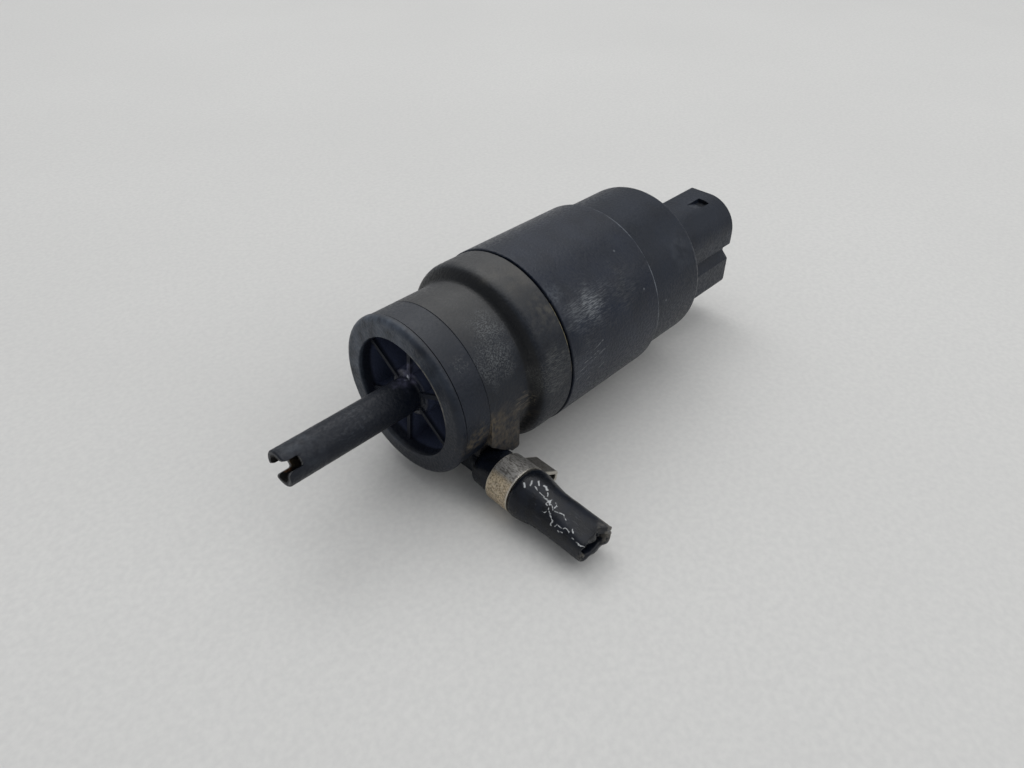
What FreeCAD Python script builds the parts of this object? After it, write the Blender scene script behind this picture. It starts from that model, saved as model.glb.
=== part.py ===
import FreeCAD, Part
import math
import os

# Vehicle washer pump, in millimetres.
# The origin is on the pump's axis at the front face of the inlet cup's rim.
# +X runs along the axis to the electrical connector, the outlet hose leaves along -Y, +Z is up.
# The pump lies on its motor sleeve and on the hose clamp.

# Fits
PUSH_FIT = 0.05
SHAFT_FIT = 0.03
SPIN_GAP = 0.6
BRUSH_GAP = 0.1
SEAM_GAP = 0.35
SHORT_GAP = 0.2

# Edges
SEAM_EDGE = 0.12
FINE_EDGE = 0.3
SOFT_EDGE = 0.5
FULL_EDGE = 0.8

# Inlet pipe
PIPE_OUT_R = 3.95
PIPE_WALL = 1.2
PIPE_REACH = 29.0
PIPE_TIP_ROUND = 0.4
SLOT_WIDTH = 2.3
SLOT_DEPTH = 3.3
SLOT_TURN = 143.0
TONGUE_ROUND = 0.8

# Inlet cup
CUP_OUT_R = 18.15
CUP_LENGTH = 8.4
CUP_RIM = 4.35
CUP_DRAFT = 0.5
LIP_PROUD = 0.2
LIP_LENGTH = 1.7
LIP_ROUND = 1.4
LIP_GROOVE = 0.3
HUB_WALL = 1.45
HUB_SETBACK = 2.6
RIB_COUNT = 6
RIB_THICK = 1.0
RIB_SETBACK = 2.2
RIB_TURN = 37.0
COVER_FLOOR = 1.8
PLUG_DEPTH = 1.6
PLUG_INSET = 2.7
EYE_R = 4.6
EYE_TAPER = 5.4
EYE_ROUND = 4.0
COVER_RING_R = 0.62

# Pump chamber and impeller
CHAMBER_WALL = 4.25
CHAMBER_GROWTH = 1.4
CHAMBER_DEPTH = 6.6
CUTWATER_TURN = 240.0
IMPELLER_PLATE = 1.1
IMPELLER_EYE_R = 5.0
IMPELLER_HUB_R = 3.1
IMPELLER_HUB_FLARE = 0.6
IMPELLER_HUB_ROUND = 1.2
IMPELLER_NOSE = 1.3
VANE_NOTCH = 1.2
VANE_ROOT = 0.2
VANE_COUNT = 6
VANE_THICK = 1.1
VANE_SWEEP = 58.0

# Shaft seal
SEAL_OUT_R = 4.6
SEAL_LENGTH = 3.4
SEAL_SKIN = 1.4
SEAL_RETAINER = 0.5
SEAL_BOSS_WALL = 1.9
SEAL_BACK_LIP = 1.0
BACK_WALL = 3.2

# Shoulder and ring of the pump housing
SHOULDER_REACH = 5.2
SHOULDER_SLOPE = 1.8
SHOULDER_HOLLOW = 1.4
RING_ROUND = 3.4
RING_WALL = 1.55
RING_LAP = 5.0

# Outlet boss, spigot, hose and clamp
OUTLET_OFFSET = 0.5
OUTLET_INSET = 1.95
OUTLET_SKEW = 2.4
BOSS_LEDGE = 0.3
BOSS_BACK = 2.9
BOSS_CORNER = 2.0
BOSS_FOOT = 1.2
BOSS_FOOT_ROUND = 3.0
BOSS_FOOT_SLOPE = 40.0
BOSS_RECESS = 3.75
BOSS_UNDER = 3.3
SPIGOT_WALL = 1.2
SPIGOT_BORE_R = 1.9
SPIGOT_LENGTH = 10.4
SPIGOT_BARB = 0.25
SPIGOT_ROOT = 2.2
THROAT_SHIFT = 2.4
THROAT_RISE = 2.1
HOSE_WALL = 1.6
HOSE_BORE_R = 2.95
HOSE_ROOM = 0.4
HOSE_MOUTH = 2.2
HOSE_MOUTH_FLARE = 0.15
HOSE_BULGE = 0.7
HOSE_BULGE_ROUND = 3.0
HOSE_NECK = 6.0
HOSE_NECK_ROUND = 6.0
HOSE_LENGTH = 28.1
HOSE_SQUASH = 8.8
HOSE_FLAT_HALF_WIDTH = 4.6
HOSE_FLAT_HALF_HEIGHT = 2.9
HOSE_SLIT_HALF_WIDTH = 3.2
HOSE_SLIT_HALF_HEIGHT = 0.7
CLAMP_START = 1.9
CLAMP_WIDTH = 6.2
CLAMP_THICK = 0.6
EAR_FOOT_HALF_WIDTH = 3.0
EAR_TIP_HALF_WIDTH = 1.3
EAR_HEIGHT = 4.4
EAR_TURN = -13.0
EAR_ROUND = 0.9

# Motor
CAN_OUT_R = 17.5
CAN_WALL = 1.0
CAN_ROUND = 2.0
CAN_SEAT = 1.5
CAN_BOSS_WALL = 1.1
CAN_BOSS_LENGTH = 2.6
CAN_NOSE_GAP = 0.9
CAN_BOSS_FLOOR = 0.6
SHAFT_R = 1.5
BEARING_OUT_R = 4.5
BEARING_LENGTH = 3.6
MAGNET_THICK = 3.2
MAGNET_ANGLE = 130.0
MAGNET_OVERHANG = 3.5
CLIP_WIRE_R = 0.6
CORE_INSET = 12.0
CORE_LENGTH = 21.0
CORE_SLOT_DEPTH = 5.85
TOOTH_COUNT = 5
TOOTH_WIDTH = 4.0
TOOTH_TIP = 1.6
TOOTH_MOUTH = 2.4
COIL_ROOT = 2.0
COIL_OVERHANG = 4.0
COIL_DEPTH = 3.0
COIL_ROUND = 2.6
COIL_GAP = 0.15
COMMUTATOR_R = 4.2
COMMUTATOR_LENGTH = 6.0
COMMUTATOR_SLIT = 0.5
COMMUTATOR_CUT = 0.7
TANG_LENGTH = 0.8
TANG_REACH = 1.6
WASHER_OUT_R = 3.0
WASHER_THICK = 0.5
BELL_FLANGE = 1.6
BELL_SKIRT = 2.0
BELL_SKIRT_WALL = 1.4
BELL_BOSS_WALL = 1.7
BELL_BOSS_LENGTH = 4.6
BELL_BOSS_FLOOR = 1.2
SHAFT_PLAY = 0.4
BRUSH_WIDTH = 3.0
BRUSH_LENGTH = 4.5
BRUSH_HEIGHT = 3.4
ARM_THICK = 0.5
ARM_WIDTH = 3.6
ARM_TAIL = 2.0
DAMPER_THICK = 0.7
DAMPER_WIDTH = 4.0
DAMPER_INSET = 3.0

# Motor sleeve
SLEEVE_LENGTH = 30.85
SLEEVE_PROUD = 0.25
SLEEVE_LAP_WALL = 1.4
BODY_RING_R = 0.9
CAP_LAP = 5.0
CAP_LAP_WALL = 1.35

# Rear cap and connector
CAP_STEP = 1.25
CAP_BACK = 2.6
CAP_ROUND = 1.8
STRAP_ROOM = 1.8
CONNECTOR_LENGTH = 25.4
CONNECTOR_CENTRE_Y = -5.8
CONNECTOR_CENTRE_Z = -0.15
CONNECTOR_WIDTH = 15.0
CONNECTOR_HEIGHT = 24.3
CONNECTOR_WALL = 1.5
CONNECTOR_BIG_ROUND = 8.5
CONNECTOR_SMALL_ROUND = 1.0
CONNECTOR_NEAR_ROUND = 1.6
SOCKET_DEPTH = 20.0
KEYWAY_RISE = 0.1
KEYWAY_DROP = 4.25
KEYWAY_FLOOR = 2.4
KEYWAY_DEPTH = 1.8
LATCH_INSET = 4.6
LATCH_LENGTH = 2.4
LATCH_WIDTH = 3.2
LATCH_LEAD = 3.6
LATCH_FLOOR = 0.5
BLADE_WIDTH = 2.8
BLADE_THICK = 0.8
BLADE_SPACING = 5.0
BLADE_SETBACK = 6.0
BLADE_POINT = 1.0

# Places along the axis, worked out from the front
CHAMBER_START_X = CUP_LENGTH + PLUG_DEPTH
POCKET_FLOOR_X = CHAMBER_START_X - COVER_FLOOR
CHAMBER_END_X = CHAMBER_START_X + CHAMBER_DEPTH
IMPELLER_START_X = CHAMBER_START_X + SPIN_GAP
IMPELLER_END_X = CHAMBER_END_X - SPIN_GAP
SHAFT_START_X = IMPELLER_START_X + IMPELLER_NOSE
SEAL_START_X = CHAMBER_END_X + SEAL_RETAINER
SEAL_END_X = SEAL_START_X + SEAL_LENGTH
SEAL_BOSS_END_X = SEAL_END_X + SEAL_BACK_LIP
MOTOR_SEAT_X = SEAL_BOSS_END_X + CAN_NOSE_GAP + CAN_BOSS_LENGTH
SHOULDER_X = MOTOR_SEAT_X - SHOULDER_REACH
RING_END_X = MOTOR_SEAT_X + RING_LAP
SLEEVE_START_X = RING_END_X + SEAM_GAP
SLEEVE_LAP_X = MOTOR_SEAT_X + 2 * BODY_RING_R
SLEEVE_END_X = SLEEVE_START_X + SLEEVE_LENGTH
FRONT_BEARING_X = MOTOR_SEAT_X - CAN_BOSS_LENGTH + CAN_BOSS_FLOOR
CORE_START_X = MOTOR_SEAT_X + CORE_INSET
CORE_END_X = CORE_START_X + CORE_LENGTH
MAGNET_START_X = CORE_START_X - MAGNET_OVERHANG
MAGNET_END_X = CORE_END_X + MAGNET_OVERHANG
COIL_END_X = CORE_END_X + COIL_OVERHANG
COMMUTATOR_START_X = COIL_END_X + SPIN_GAP
COMMUTATOR_END_X = COMMUTATOR_START_X + COMMUTATOR_LENGTH
BRUSH_START_X = (COMMUTATOR_START_X + COMMUTATOR_END_X - BRUSH_WIDTH) / 2
CAN_END_X = COMMUTATOR_END_X + BELL_SKIRT - SPIN_GAP
BELL_END_X = CAN_END_X + BELL_FLANGE
BELL_BOSS_END_X = BELL_END_X + BELL_BOSS_LENGTH
REAR_BEARING_X = BELL_BOSS_END_X - BELL_BOSS_FLOOR - BEARING_LENGTH
SHAFT_END_X = REAR_BEARING_X + BEARING_LENGTH + SHAFT_PLAY
CAP_END_X = BELL_BOSS_END_X + STRAP_ROOM + CAP_BACK
CONNECTOR_END_X = CAP_END_X + CONNECTOR_LENGTH
SOCKET_FLOOR_X = CONNECTOR_END_X - SOCKET_DEPTH
LATCH_END_X = CONNECTOR_END_X - LATCH_INSET
OUTLET_X = CHAMBER_START_X + OUTLET_OFFSET
BOSS_START_X = CUP_LENGTH + BOSS_LEDGE
BOSS_END_X = SHOULDER_X - BOSS_BACK

# Radii, worked out from the cup and from the motor can
PIPE_BORE_R = PIPE_OUT_R - PIPE_WALL
HUB_OUT_R = PIPE_OUT_R + HUB_WALL
CUP_OPEN_R = CUP_OUT_R - CUP_RIM
PLUG_OUT_R = CUP_OUT_R - PLUG_INSET
CHAMBER_R = CUP_OUT_R - CHAMBER_WALL
IMPELLER_OUT_R = CHAMBER_R - SPIN_GAP
CAN_BORE_R = CAN_OUT_R - CAN_WALL
CAN_BOSS_R = BEARING_OUT_R + CAN_BOSS_WALL
MOTOR_SEAT_R = CAN_OUT_R - CAN_ROUND - CAN_SEAT
MAGNET_OUT_R = CAN_BORE_R - PUSH_FIT
MAGNET_IN_R = MAGNET_OUT_R - MAGNET_THICK
CORE_OUT_R = MAGNET_IN_R - SPIN_GAP
CORE_RIM_R = CORE_OUT_R - TOOTH_TIP
CORE_HUB_R = CORE_RIM_R - CORE_SLOT_DEPTH
SLEEVE_BORE_R = CAN_OUT_R + DAMPER_THICK
SLEEVE_LAP_R = SLEEVE_BORE_R + SLEEVE_LAP_WALL
RING_OUT_R = SLEEVE_LAP_R + PUSH_FIT + RING_WALL
SLEEVE_OUT_R = RING_OUT_R + SLEEVE_PROUD
CAP_OUT_R = SLEEVE_OUT_R - CAP_STEP
CAP_BORE_R = CAN_OUT_R + SHORT_GAP
CAP_LAP_R = CAP_BORE_R + CAP_LAP_WALL
BELL_BOSS_R = BEARING_OUT_R + BELL_BOSS_WALL
BRUSH_BACK_R = COMMUTATOR_R + BRUSH_GAP + BRUSH_HEIGHT

# Places round the outlet
PAD_Y = -CUP_OUT_R
OUTLET_Z = OUTLET_INSET - CUP_OUT_R
SPIGOT_OUT_R = SPIGOT_BORE_R + SPIGOT_WALL
BARB_R = SPIGOT_OUT_R + SPIGOT_BARB
HOSE_MOUTH_R = SPIGOT_OUT_R + HOSE_WALL + HOSE_MOUTH_FLARE
HOSE_STRETCHED_R = BARB_R + HOSE_WALL
HOSE_OUT_R = HOSE_BORE_R + HOSE_WALL
HOSE_START = SEAM_GAP - BOSS_RECESS
CLAMP_BORE_R = HOSE_STRETCHED_R + PUSH_FIT
CLAMP_OUT_R = CLAMP_BORE_R + CLAMP_THICK
CLAMP_END = CLAMP_START + CLAMP_WIDTH
HOSE_NECK_END = SPIGOT_LENGTH + HOSE_NECK
HOSE_FLAT_START = HOSE_LENGTH - HOSE_SQUASH

# Faces of the connector
CONNECTOR_NEAR_Y = CONNECTOR_CENTRE_Y - CONNECTOR_WIDTH / 2
CONNECTOR_FAR_Y = CONNECTOR_CENTRE_Y + CONNECTOR_WIDTH / 2
CONNECTOR_TOP_Z = CONNECTOR_CENTRE_Z + CONNECTOR_HEIGHT / 2
CONNECTOR_BOTTOM_Z = CONNECTOR_CENTRE_Z - CONNECTOR_HEIGHT / 2
KEYWAY_TOP_Z = CONNECTOR_CENTRE_Z + KEYWAY_RISE
KEYWAY_BOTTOM_Z = CONNECTOR_CENTRE_Z - KEYWAY_DROP
KEYWAY_FLOOR_Z = CONNECTOR_CENTRE_Z - KEYWAY_FLOOR

AXIS = FreeCAD.Vector(1, 0, 0)
CENTRE = FreeCAD.Vector(0, 0, 0)
OVERRUN = 1.0
SAME_PLACE = 1e-6


def outline(corners, place):
    """A closed wire through (u, v, edge) corners, where place turns u and v into a point.

    The edge is the radius of a rounded corner, or less than zero for a flat chamfer.
    """
    flat = [FreeCAD.Vector(c[0], c[1], 0) for c in corners]
    edges = []
    stops = []
    for index, corner in enumerate(corners):
        here = flat[index]
        back = (flat[index - 1] - here).normalize()
        ahead = (flat[(index + 1) % len(flat)] - here).normalize()
        edge = corner[2] if len(corner) > 2 else 0
        if edge > 0:
            half = back.getAngle(ahead) / 2
            reach = edge / math.tan(half)
            middle = (back + ahead).normalize() * (edge / math.sin(half) - edge)
            stops.append((here + back * reach, here + middle, here + ahead * reach))
        else:
            stops.append((here - back * edge, None, here - ahead * edge))
    for index, (start, middle, end) in enumerate(stops):
        if middle is not None:
            edges.append(Part.Arc(place(start), place(middle), place(end)).toShape())
        elif (end - start).Length > SAME_PLACE:
            edges.append(Part.LineSegment(place(start), place(end)).toShape())
        following = stops[(index + 1) % len(stops)][0]
        if (following - end).Length > SAME_PLACE:
            edges.append(Part.LineSegment(place(end), place(following)).toShape())
    return Part.Wire(edges)


def turned(corners):
    """A solid of revolution about the X axis from (x, radius, edge) corners."""
    wire = outline(corners, lambda p: FreeCAD.Vector(p.x, p.y, 0))
    return Part.Face(wire).revolve(CENTRE, AXIS, 360)


def prism(corners, x_start, x_end):
    """A solid between two X stations from (y, z, edge) corners."""
    wire = outline(corners, lambda p: FreeCAD.Vector(x_start, p.x, p.y))
    return Part.Face(wire).extrude(FreeCAD.Vector(x_end - x_start, 0, 0))


def rod(radius, x_start, x_end):
    return Part.makeCylinder(radius, x_end - x_start, FreeCAD.Vector(x_start, 0, 0), AXIS)


def tube(out_r, in_r, x_start, x_end):
    return rod(out_r, x_start, x_end).cut(rod(in_r, x_start - OVERRUN, x_end + OVERRUN))


def ring(centre_r, wire_r, x):
    """A round wire bent into a circle about the X axis."""
    return Part.makeTorus(centre_r, wire_r, FreeCAD.Vector(x, 0, 0), AXIS)


def block(x_start, x_end, y_start, y_end, z_start, z_end):
    """A box between two places on each axis."""
    corner = FreeCAD.Vector(x_start, y_start, z_start)
    return Part.makeBox(x_end - x_start, y_end - y_start, z_end - z_start, corner)


def spun(shape, degrees):
    copy = shape.copy()
    copy.rotate(CENTRE, AXIS, degrees)
    return copy


def around(shape, count, start=0.0):
    """Copies of a shape, evenly spaced about the X axis."""
    return [spun(shape, start + index * 360.0 / count) for index in range(count)]


def polar(radius, degrees, x):
    turn = math.radians(degrees)
    return FreeCAD.Vector(x, radius * math.cos(turn), radius * math.sin(turn))


def joined(first, *others):
    return first.fuse(list(others)).removeSplitter()


def at_outlet(shape):
    """Moves a shape built along the X axis onto the outlet's axis, with x counted from the boss."""
    shape.rotate(CENTRE, FreeCAD.Vector(0, 0, 1), -90 - OUTLET_SKEW)
    shape.translate(FreeCAD.Vector(OUTLET_X, PAD_Y, OUTLET_Z))
    return shape


def pipe_end_slot():
    """The cutter for the two slots across the pipe's tip, with rounded tongues left beside them."""
    tip = -PIPE_REACH
    half = SLOT_WIDTH / 2
    wide = half + 2 * TONGUE_ROUND
    floor = tip + SLOT_DEPTH
    corners = [
        (tip - OVERRUN, wide), (tip, wide), (tip, half, TONGUE_ROUND), (floor, half, half / 2),
        (floor, -half, half / 2), (tip, -half, TONGUE_ROUND), (tip, -wide), (tip - OVERRUN, -wide)]
    wire = outline(corners, lambda p: FreeCAD.Vector(p.x, p.y, -2 * PIPE_OUT_R))
    cutter = Part.Face(wire).extrude(FreeCAD.Vector(0, 0, 4 * PIPE_OUT_R))
    return spun(cutter, SLOT_TURN - 90)


def inlet_cover():
    """The rimmed front cup, its hub on six ribs, the inlet pipe and the plug into the housing."""
    lip_r = CUP_OUT_R + LIP_PROUD
    groove_r = CUP_OUT_R - LIP_GROOVE
    groove_end = LIP_LENGTH + LIP_GROOVE
    body = turned([
        (-PIPE_REACH, 0), (-PIPE_REACH, PIPE_OUT_R, PIPE_TIP_ROUND),
        (HUB_SETBACK, PIPE_OUT_R, SOFT_EDGE), (HUB_SETBACK, HUB_OUT_R, SOFT_EDGE),
        (POCKET_FLOOR_X, HUB_OUT_R + CUP_DRAFT), (POCKET_FLOOR_X, CUP_OPEN_R - CUP_DRAFT, FULL_EDGE),
        (0, CUP_OPEN_R, FINE_EDGE), (0, lip_r, LIP_ROUND), (LIP_LENGTH, lip_r),
        (LIP_LENGTH, groove_r), (groove_end, groove_r), (groove_end, CUP_OUT_R),
        (CUP_LENGTH, CUP_OUT_R, -SEAM_EDGE), (CUP_LENGTH, PLUG_OUT_R),
        (CHAMBER_START_X, PLUG_OUT_R, -FINE_EDGE), (CHAMBER_START_X, 0)])
    rib = block(RIB_SETBACK, CHAMBER_START_X - COVER_FLOOR / 2, PIPE_OUT_R, CUP_OPEN_R + OVERRUN,
                -RIB_THICK / 2, RIB_THICK / 2)
    body = joined(body, *around(rib, RIB_COUNT, RIB_TURN))
    taper_x = CHAMBER_START_X - EYE_TAPER
    bore = turned([
        (-PIPE_REACH - OVERRUN, 0), (-PIPE_REACH - OVERRUN, PIPE_BORE_R),
        (taper_x, PIPE_BORE_R, EYE_ROUND),
        (CHAMBER_START_X, EYE_R), (CHAMBER_START_X + OVERRUN, EYE_R), (CHAMBER_START_X + OVERRUN, 0)])
    return body.cut(bore).cut(pipe_end_slot())


def volute_void():
    """The pump chamber, whose wall draws away from the impeller in the direction of spin."""
    def wall_point(part_turn):
        radius = CHAMBER_R + CHAMBER_GROWTH * part_turn
        return polar(radius, CUTWATER_TURN - 360 * part_turn, CHAMBER_START_X)

    edges = []
    quarters = 4
    for quarter in range(quarters):
        stops = [(quarter + step) / quarters for step in (0, 0.5, 1)]
        edges.append(Part.Arc(*[wall_point(stop) for stop in stops]).toShape())
    edges.append(Part.LineSegment(wall_point(1), wall_point(0)).toShape())
    return Part.Face(Part.Wire(edges)).extrude(FreeCAD.Vector(CHAMBER_DEPTH, 0, 0))


def outlet_boss():
    """A flat column that ends in a slope over the hose, and the block behind it for the spigot."""
    under = OUTLET_Z - BOSS_UNDER
    foot = OUTLET_Z + BOSS_FOOT
    recess_y = PAD_Y + BOSS_RECESS
    boss = prism([
        (0, 0), (PAD_Y, 0), (PAD_Y, foot, BOSS_FOOT_ROUND), (recess_y, foot),
        (recess_y, under, BOSS_CORNER), (OUTLET_Z / 2, under, BOSS_CORNER), (0, LIP_PROUD - CUP_OUT_R)],
        BOSS_START_X, BOSS_END_X)
    slope_top = foot + (BOSS_END_X - BOSS_START_X) * math.tan(math.radians(BOSS_FOOT_SLOPE))
    below_slope = outline(
        [(BOSS_START_X, slope_top), (BOSS_END_X, foot), (BOSS_END_X, under), (BOSS_START_X, under)],
        lambda p: FreeCAD.Vector(p.x, PAD_Y, p.y))
    foot_room = Part.Face(below_slope).extrude(FreeCAD.Vector(0, BOSS_RECESS, 0))
    hose_room = at_outlet(rod(HOSE_MOUTH_R + HOSE_ROOM, -BOSS_RECESS, SPIGOT_LENGTH))
    return boss.cut(foot_room).cut(hose_room)


def outlet_spigot():
    """The tube that the hose is pushed onto, with a low barb near its end."""
    barb_end = SPIGOT_LENGTH - SPIGOT_WALL
    barb_start = barb_end - SPIGOT_WALL
    root = -BOSS_RECESS - SPIGOT_ROOT
    return turned([
        (root, 0), (root, SPIGOT_OUT_R), (barb_start - SPIGOT_BARB, SPIGOT_OUT_R),
        (barb_start, BARB_R), (barb_end, BARB_R), (SPIGOT_LENGTH, SPIGOT_OUT_R - SPIGOT_WALL / 2),
        (SPIGOT_LENGTH, 0)])


def outlet_bore():
    """The spigot's bore, and the throat that slopes up from it to the chamber's rim."""
    knee_place = FreeCAD.Vector(OUTLET_X, PAD_Y + BOSS_RECESS, OUTLET_Z)
    throat_run = FreeCAD.Vector(OUTLET_X + THROAT_SHIFT, 0, OUTLET_Z + THROAT_RISE) - knee_place
    throat = Part.makeCylinder(SPIGOT_BORE_R, throat_run.Length, knee_place, throat_run)
    knee = Part.makeSphere(SPIGOT_BORE_R, knee_place)
    straight = at_outlet(rod(SPIGOT_BORE_R, -BOSS_RECESS, SPIGOT_LENGTH + OVERRUN))
    return joined(throat, knee, straight)


def pump_housing():
    """The volute, outlet boss and spigot, the shoulder, the ring and the seat of the motor."""
    body = turned([
        (CUP_LENGTH, 0), (CUP_LENGTH, CUP_OUT_R, -SEAM_EDGE), (SHOULDER_X, CUP_OUT_R, SHOULDER_HOLLOW),
        (SHOULDER_X + SHOULDER_SLOPE, RING_OUT_R, RING_ROUND), (RING_END_X, RING_OUT_R, FINE_EDGE),
        (RING_END_X, 0)])
    body = joined(body, outlet_boss(), at_outlet(outlet_spigot()))
    plug_seat = rod(PLUG_OUT_R + PUSH_FIT, CUP_LENGTH - OVERRUN, CHAMBER_START_X)
    groove_r = PLUG_OUT_R + 2 * COVER_RING_R + 2 * PUSH_FIT
    ring_groove = rod(groove_r, CUP_LENGTH - OVERRUN, CUP_LENGTH + 2 * COVER_RING_R)
    shaft_hole_r = SHAFT_R + SPIN_GAP
    seal_seat = turned([
        (CHAMBER_END_X - OVERRUN, 0), (CHAMBER_END_X - OVERRUN, SEAL_OUT_R),
        (SEAL_END_X, SEAL_OUT_R), (SEAL_END_X, shaft_hole_r),
        (SEAL_BOSS_END_X + OVERRUN, shaft_hole_r), (SEAL_BOSS_END_X + OVERRUN, 0)])
    back_wall_x = CHAMBER_END_X + BACK_WALL
    boss_r = SEAL_OUT_R + SEAL_BOSS_WALL
    lap_r = SLEEVE_LAP_R + PUSH_FIT
    motor_well = turned([
        (SEAL_BOSS_END_X, 0), (SEAL_BOSS_END_X, boss_r), (back_wall_x, boss_r),
        (back_wall_x, MOTOR_SEAT_R, FULL_EDGE), (MOTOR_SEAT_X, MOTOR_SEAT_R), (MOTOR_SEAT_X, lap_r),
        (RING_END_X + OVERRUN, lap_r), (RING_END_X + OVERRUN, 0)])
    for void in (plug_seat, ring_groove, volute_void(), outlet_bore(), seal_seat, motor_well):
        body = body.cut(void)
    return body


def cover_o_ring():
    return ring(PLUG_OUT_R + COVER_RING_R + PUSH_FIT, COVER_RING_R, CUP_LENGTH + COVER_RING_R)


def body_o_ring():
    return ring(SLEEVE_LAP_R - BODY_RING_R, BODY_RING_R, MOTOR_SEAT_X + BODY_RING_R)


def impeller():
    """A back plate with swept vanes and a nosed hub that is pushed onto the shaft."""
    plate_x = IMPELLER_END_X - IMPELLER_PLATE
    disc = turned([
        (IMPELLER_START_X, 0), (IMPELLER_START_X, IMPELLER_HUB_R, IMPELLER_HUB_ROUND),
        (plate_x, IMPELLER_HUB_R + IMPELLER_HUB_FLARE, IMPELLER_HUB_ROUND),
        (plate_x, IMPELLER_OUT_R, -FINE_EDGE), (IMPELLER_END_X, IMPELLER_OUT_R, -FINE_EDGE),
        (IMPELLER_END_X, 0)])

    def vane_point(part_out, side):
        radius = IMPELLER_HUB_R + (IMPELLER_OUT_R - IMPELLER_HUB_R) * part_out
        turn = VANE_SWEEP * part_out + math.degrees(side * VANE_THICK / 2 / radius)
        return polar(radius, turn, IMPELLER_START_X)

    low = Part.Arc(*[vane_point(part_out, -1) for part_out in (0, 0.5, 1)]).toShape()
    tip = Part.LineSegment(vane_point(1, -1), vane_point(1, 1)).toShape()
    high = Part.Arc(*[vane_point(part_out, 1) for part_out in (1, 0.5, 0)]).toShape()
    root = Part.LineSegment(vane_point(0, 1), vane_point(0, -1)).toShape()
    vane_height = plate_x - IMPELLER_START_X + VANE_ROOT
    vane = Part.Face(Part.Wire([low, tip, high, root])).extrude(AXIS * vane_height)
    eye = tube(IMPELLER_EYE_R, IMPELLER_HUB_R, IMPELLER_START_X - OVERRUN, IMPELLER_START_X + VANE_NOTCH)
    vanes = [copy.cut(eye) for copy in around(vane, VANE_COUNT)]
    bore = rod(SHAFT_R + SHAFT_FIT, SHAFT_START_X - SHAFT_FIT, IMPELLER_END_X + OVERRUN)
    return joined(disc, *vanes).cut(bore)


def shaft_seal():
    """A rubber ring with a soft wiping lip to the water and a second lip behind it."""
    lip_r = SHAFT_R + 2 * SHAFT_FIT
    out_r = SEAL_OUT_R - PUSH_FIT
    web_r = out_r - SEAL_SKIN
    start = SEAL_START_X
    land = SEAL_LENGTH / 8
    return turned([
        (start, out_r, -FINE_EDGE), (start, web_r), (start + 3 * land, web_r - land),
        (start + land, lip_r + land), (start + 2 * land, lip_r), (start + 3 * land, lip_r),
        (start + 5 * land, web_r - 2 * land), (SEAL_END_X - 2 * land, lip_r), (SEAL_END_X, lip_r),
        (SEAL_END_X, out_r, -FINE_EDGE)])


def seal_retainer():
    return tube(SEAL_OUT_R - PUSH_FIT, SHAFT_R + SPIN_GAP, CHAMBER_END_X, SEAL_START_X)


def motor_sleeve():
    """The smooth outer tube, its front lap in the housing's ring and its seat for the cap."""
    seat_x = SLEEVE_END_X - CAP_LAP
    seat_r = CAP_LAP_R + PUSH_FIT
    return turned([
        (SLEEVE_LAP_X, SLEEVE_BORE_R), (SLEEVE_LAP_X, SLEEVE_LAP_R, -SOFT_EDGE),
        (SLEEVE_START_X, SLEEVE_LAP_R), (SLEEVE_START_X, SLEEVE_OUT_R, FINE_EDGE),
        (SLEEVE_END_X, SLEEVE_OUT_R, FINE_EDGE), (SLEEVE_END_X, seat_r), (seat_x, seat_r),
        (seat_x, SLEEVE_BORE_R)])


def connector_corners(inset):
    """The connector's section, set in from its outer faces."""
    near = CONNECTOR_NEAR_Y + inset
    far = CONNECTOR_FAR_Y - inset
    top = CONNECTOR_TOP_Z - inset
    bottom = CONNECTOR_BOTTOM_Z + inset
    groove = near + KEYWAY_DEPTH
    return [
        (near, top, CONNECTOR_BIG_ROUND - inset), (far, top, CONNECTOR_SMALL_ROUND),
        (far, bottom, CONNECTOR_SMALL_ROUND), (near, bottom, CONNECTOR_NEAR_ROUND),
        (near, KEYWAY_BOTTOM_Z - inset, FINE_EDGE), (groove, KEYWAY_FLOOR_Z - inset, SOFT_EDGE),
        (groove, KEYWAY_TOP_Z + inset, FINE_EDGE), (near, KEYWAY_TOP_Z + inset, FINE_EDGE)]


def latch_recess():
    """The cutter for the blind recess that the plug's latch drops into, with its sloped lead."""
    start = LATCH_END_X - LATCH_LENGTH
    below = CONNECTOR_TOP_Z - CONNECTOR_WALL + LATCH_FLOOR
    above = CONNECTOR_TOP_Z + OVERRUN
    half = LATCH_WIDTH / 2
    corners = [
        (start, below), (LATCH_END_X, below), (LATCH_END_X, above), (start - LATCH_LEAD, above),
        (start - LATCH_LEAD, CONNECTOR_TOP_Z), (start, CONNECTOR_TOP_Z - CONNECTOR_WALL / 2)]
    wire = outline(corners, lambda p: FreeCAD.Vector(p.x, CONNECTOR_CENTRE_Y - half, p.y))
    return Part.Face(wire).extrude(FreeCAD.Vector(0, 2 * half, 0))


def connector_cap():
    """The rear cap, its lap in the sleeve, and the keyed connector shell on its back."""
    lap_start = SLEEVE_END_X - CAP_LAP + PUSH_FIT
    cap = turned([
        (lap_start, 0), (lap_start, CAP_LAP_R, -FINE_EDGE), (SLEEVE_END_X, CAP_LAP_R),
        (SLEEVE_END_X, CAP_OUT_R), (CAP_END_X, CAP_OUT_R, CAP_ROUND), (CAP_END_X, 0)])
    floor_x = CAP_END_X - CAP_BACK
    body = joined(cap, prism(connector_corners(0), floor_x, CONNECTOR_END_X))
    bay = turned([
        (lap_start - OVERRUN, 0), (lap_start - OVERRUN, CAP_BORE_R),
        (floor_x, CAP_BORE_R, CAP_ROUND), (floor_x, 0)])
    socket = prism(connector_corners(CONNECTOR_WALL), SOCKET_FLOOR_X, CONNECTOR_END_X + OVERRUN)
    for void in (bay, socket, latch_recess(), *contact_blade_solids(PUSH_FIT)):
        body = body.cut(void)
    return body


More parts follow.
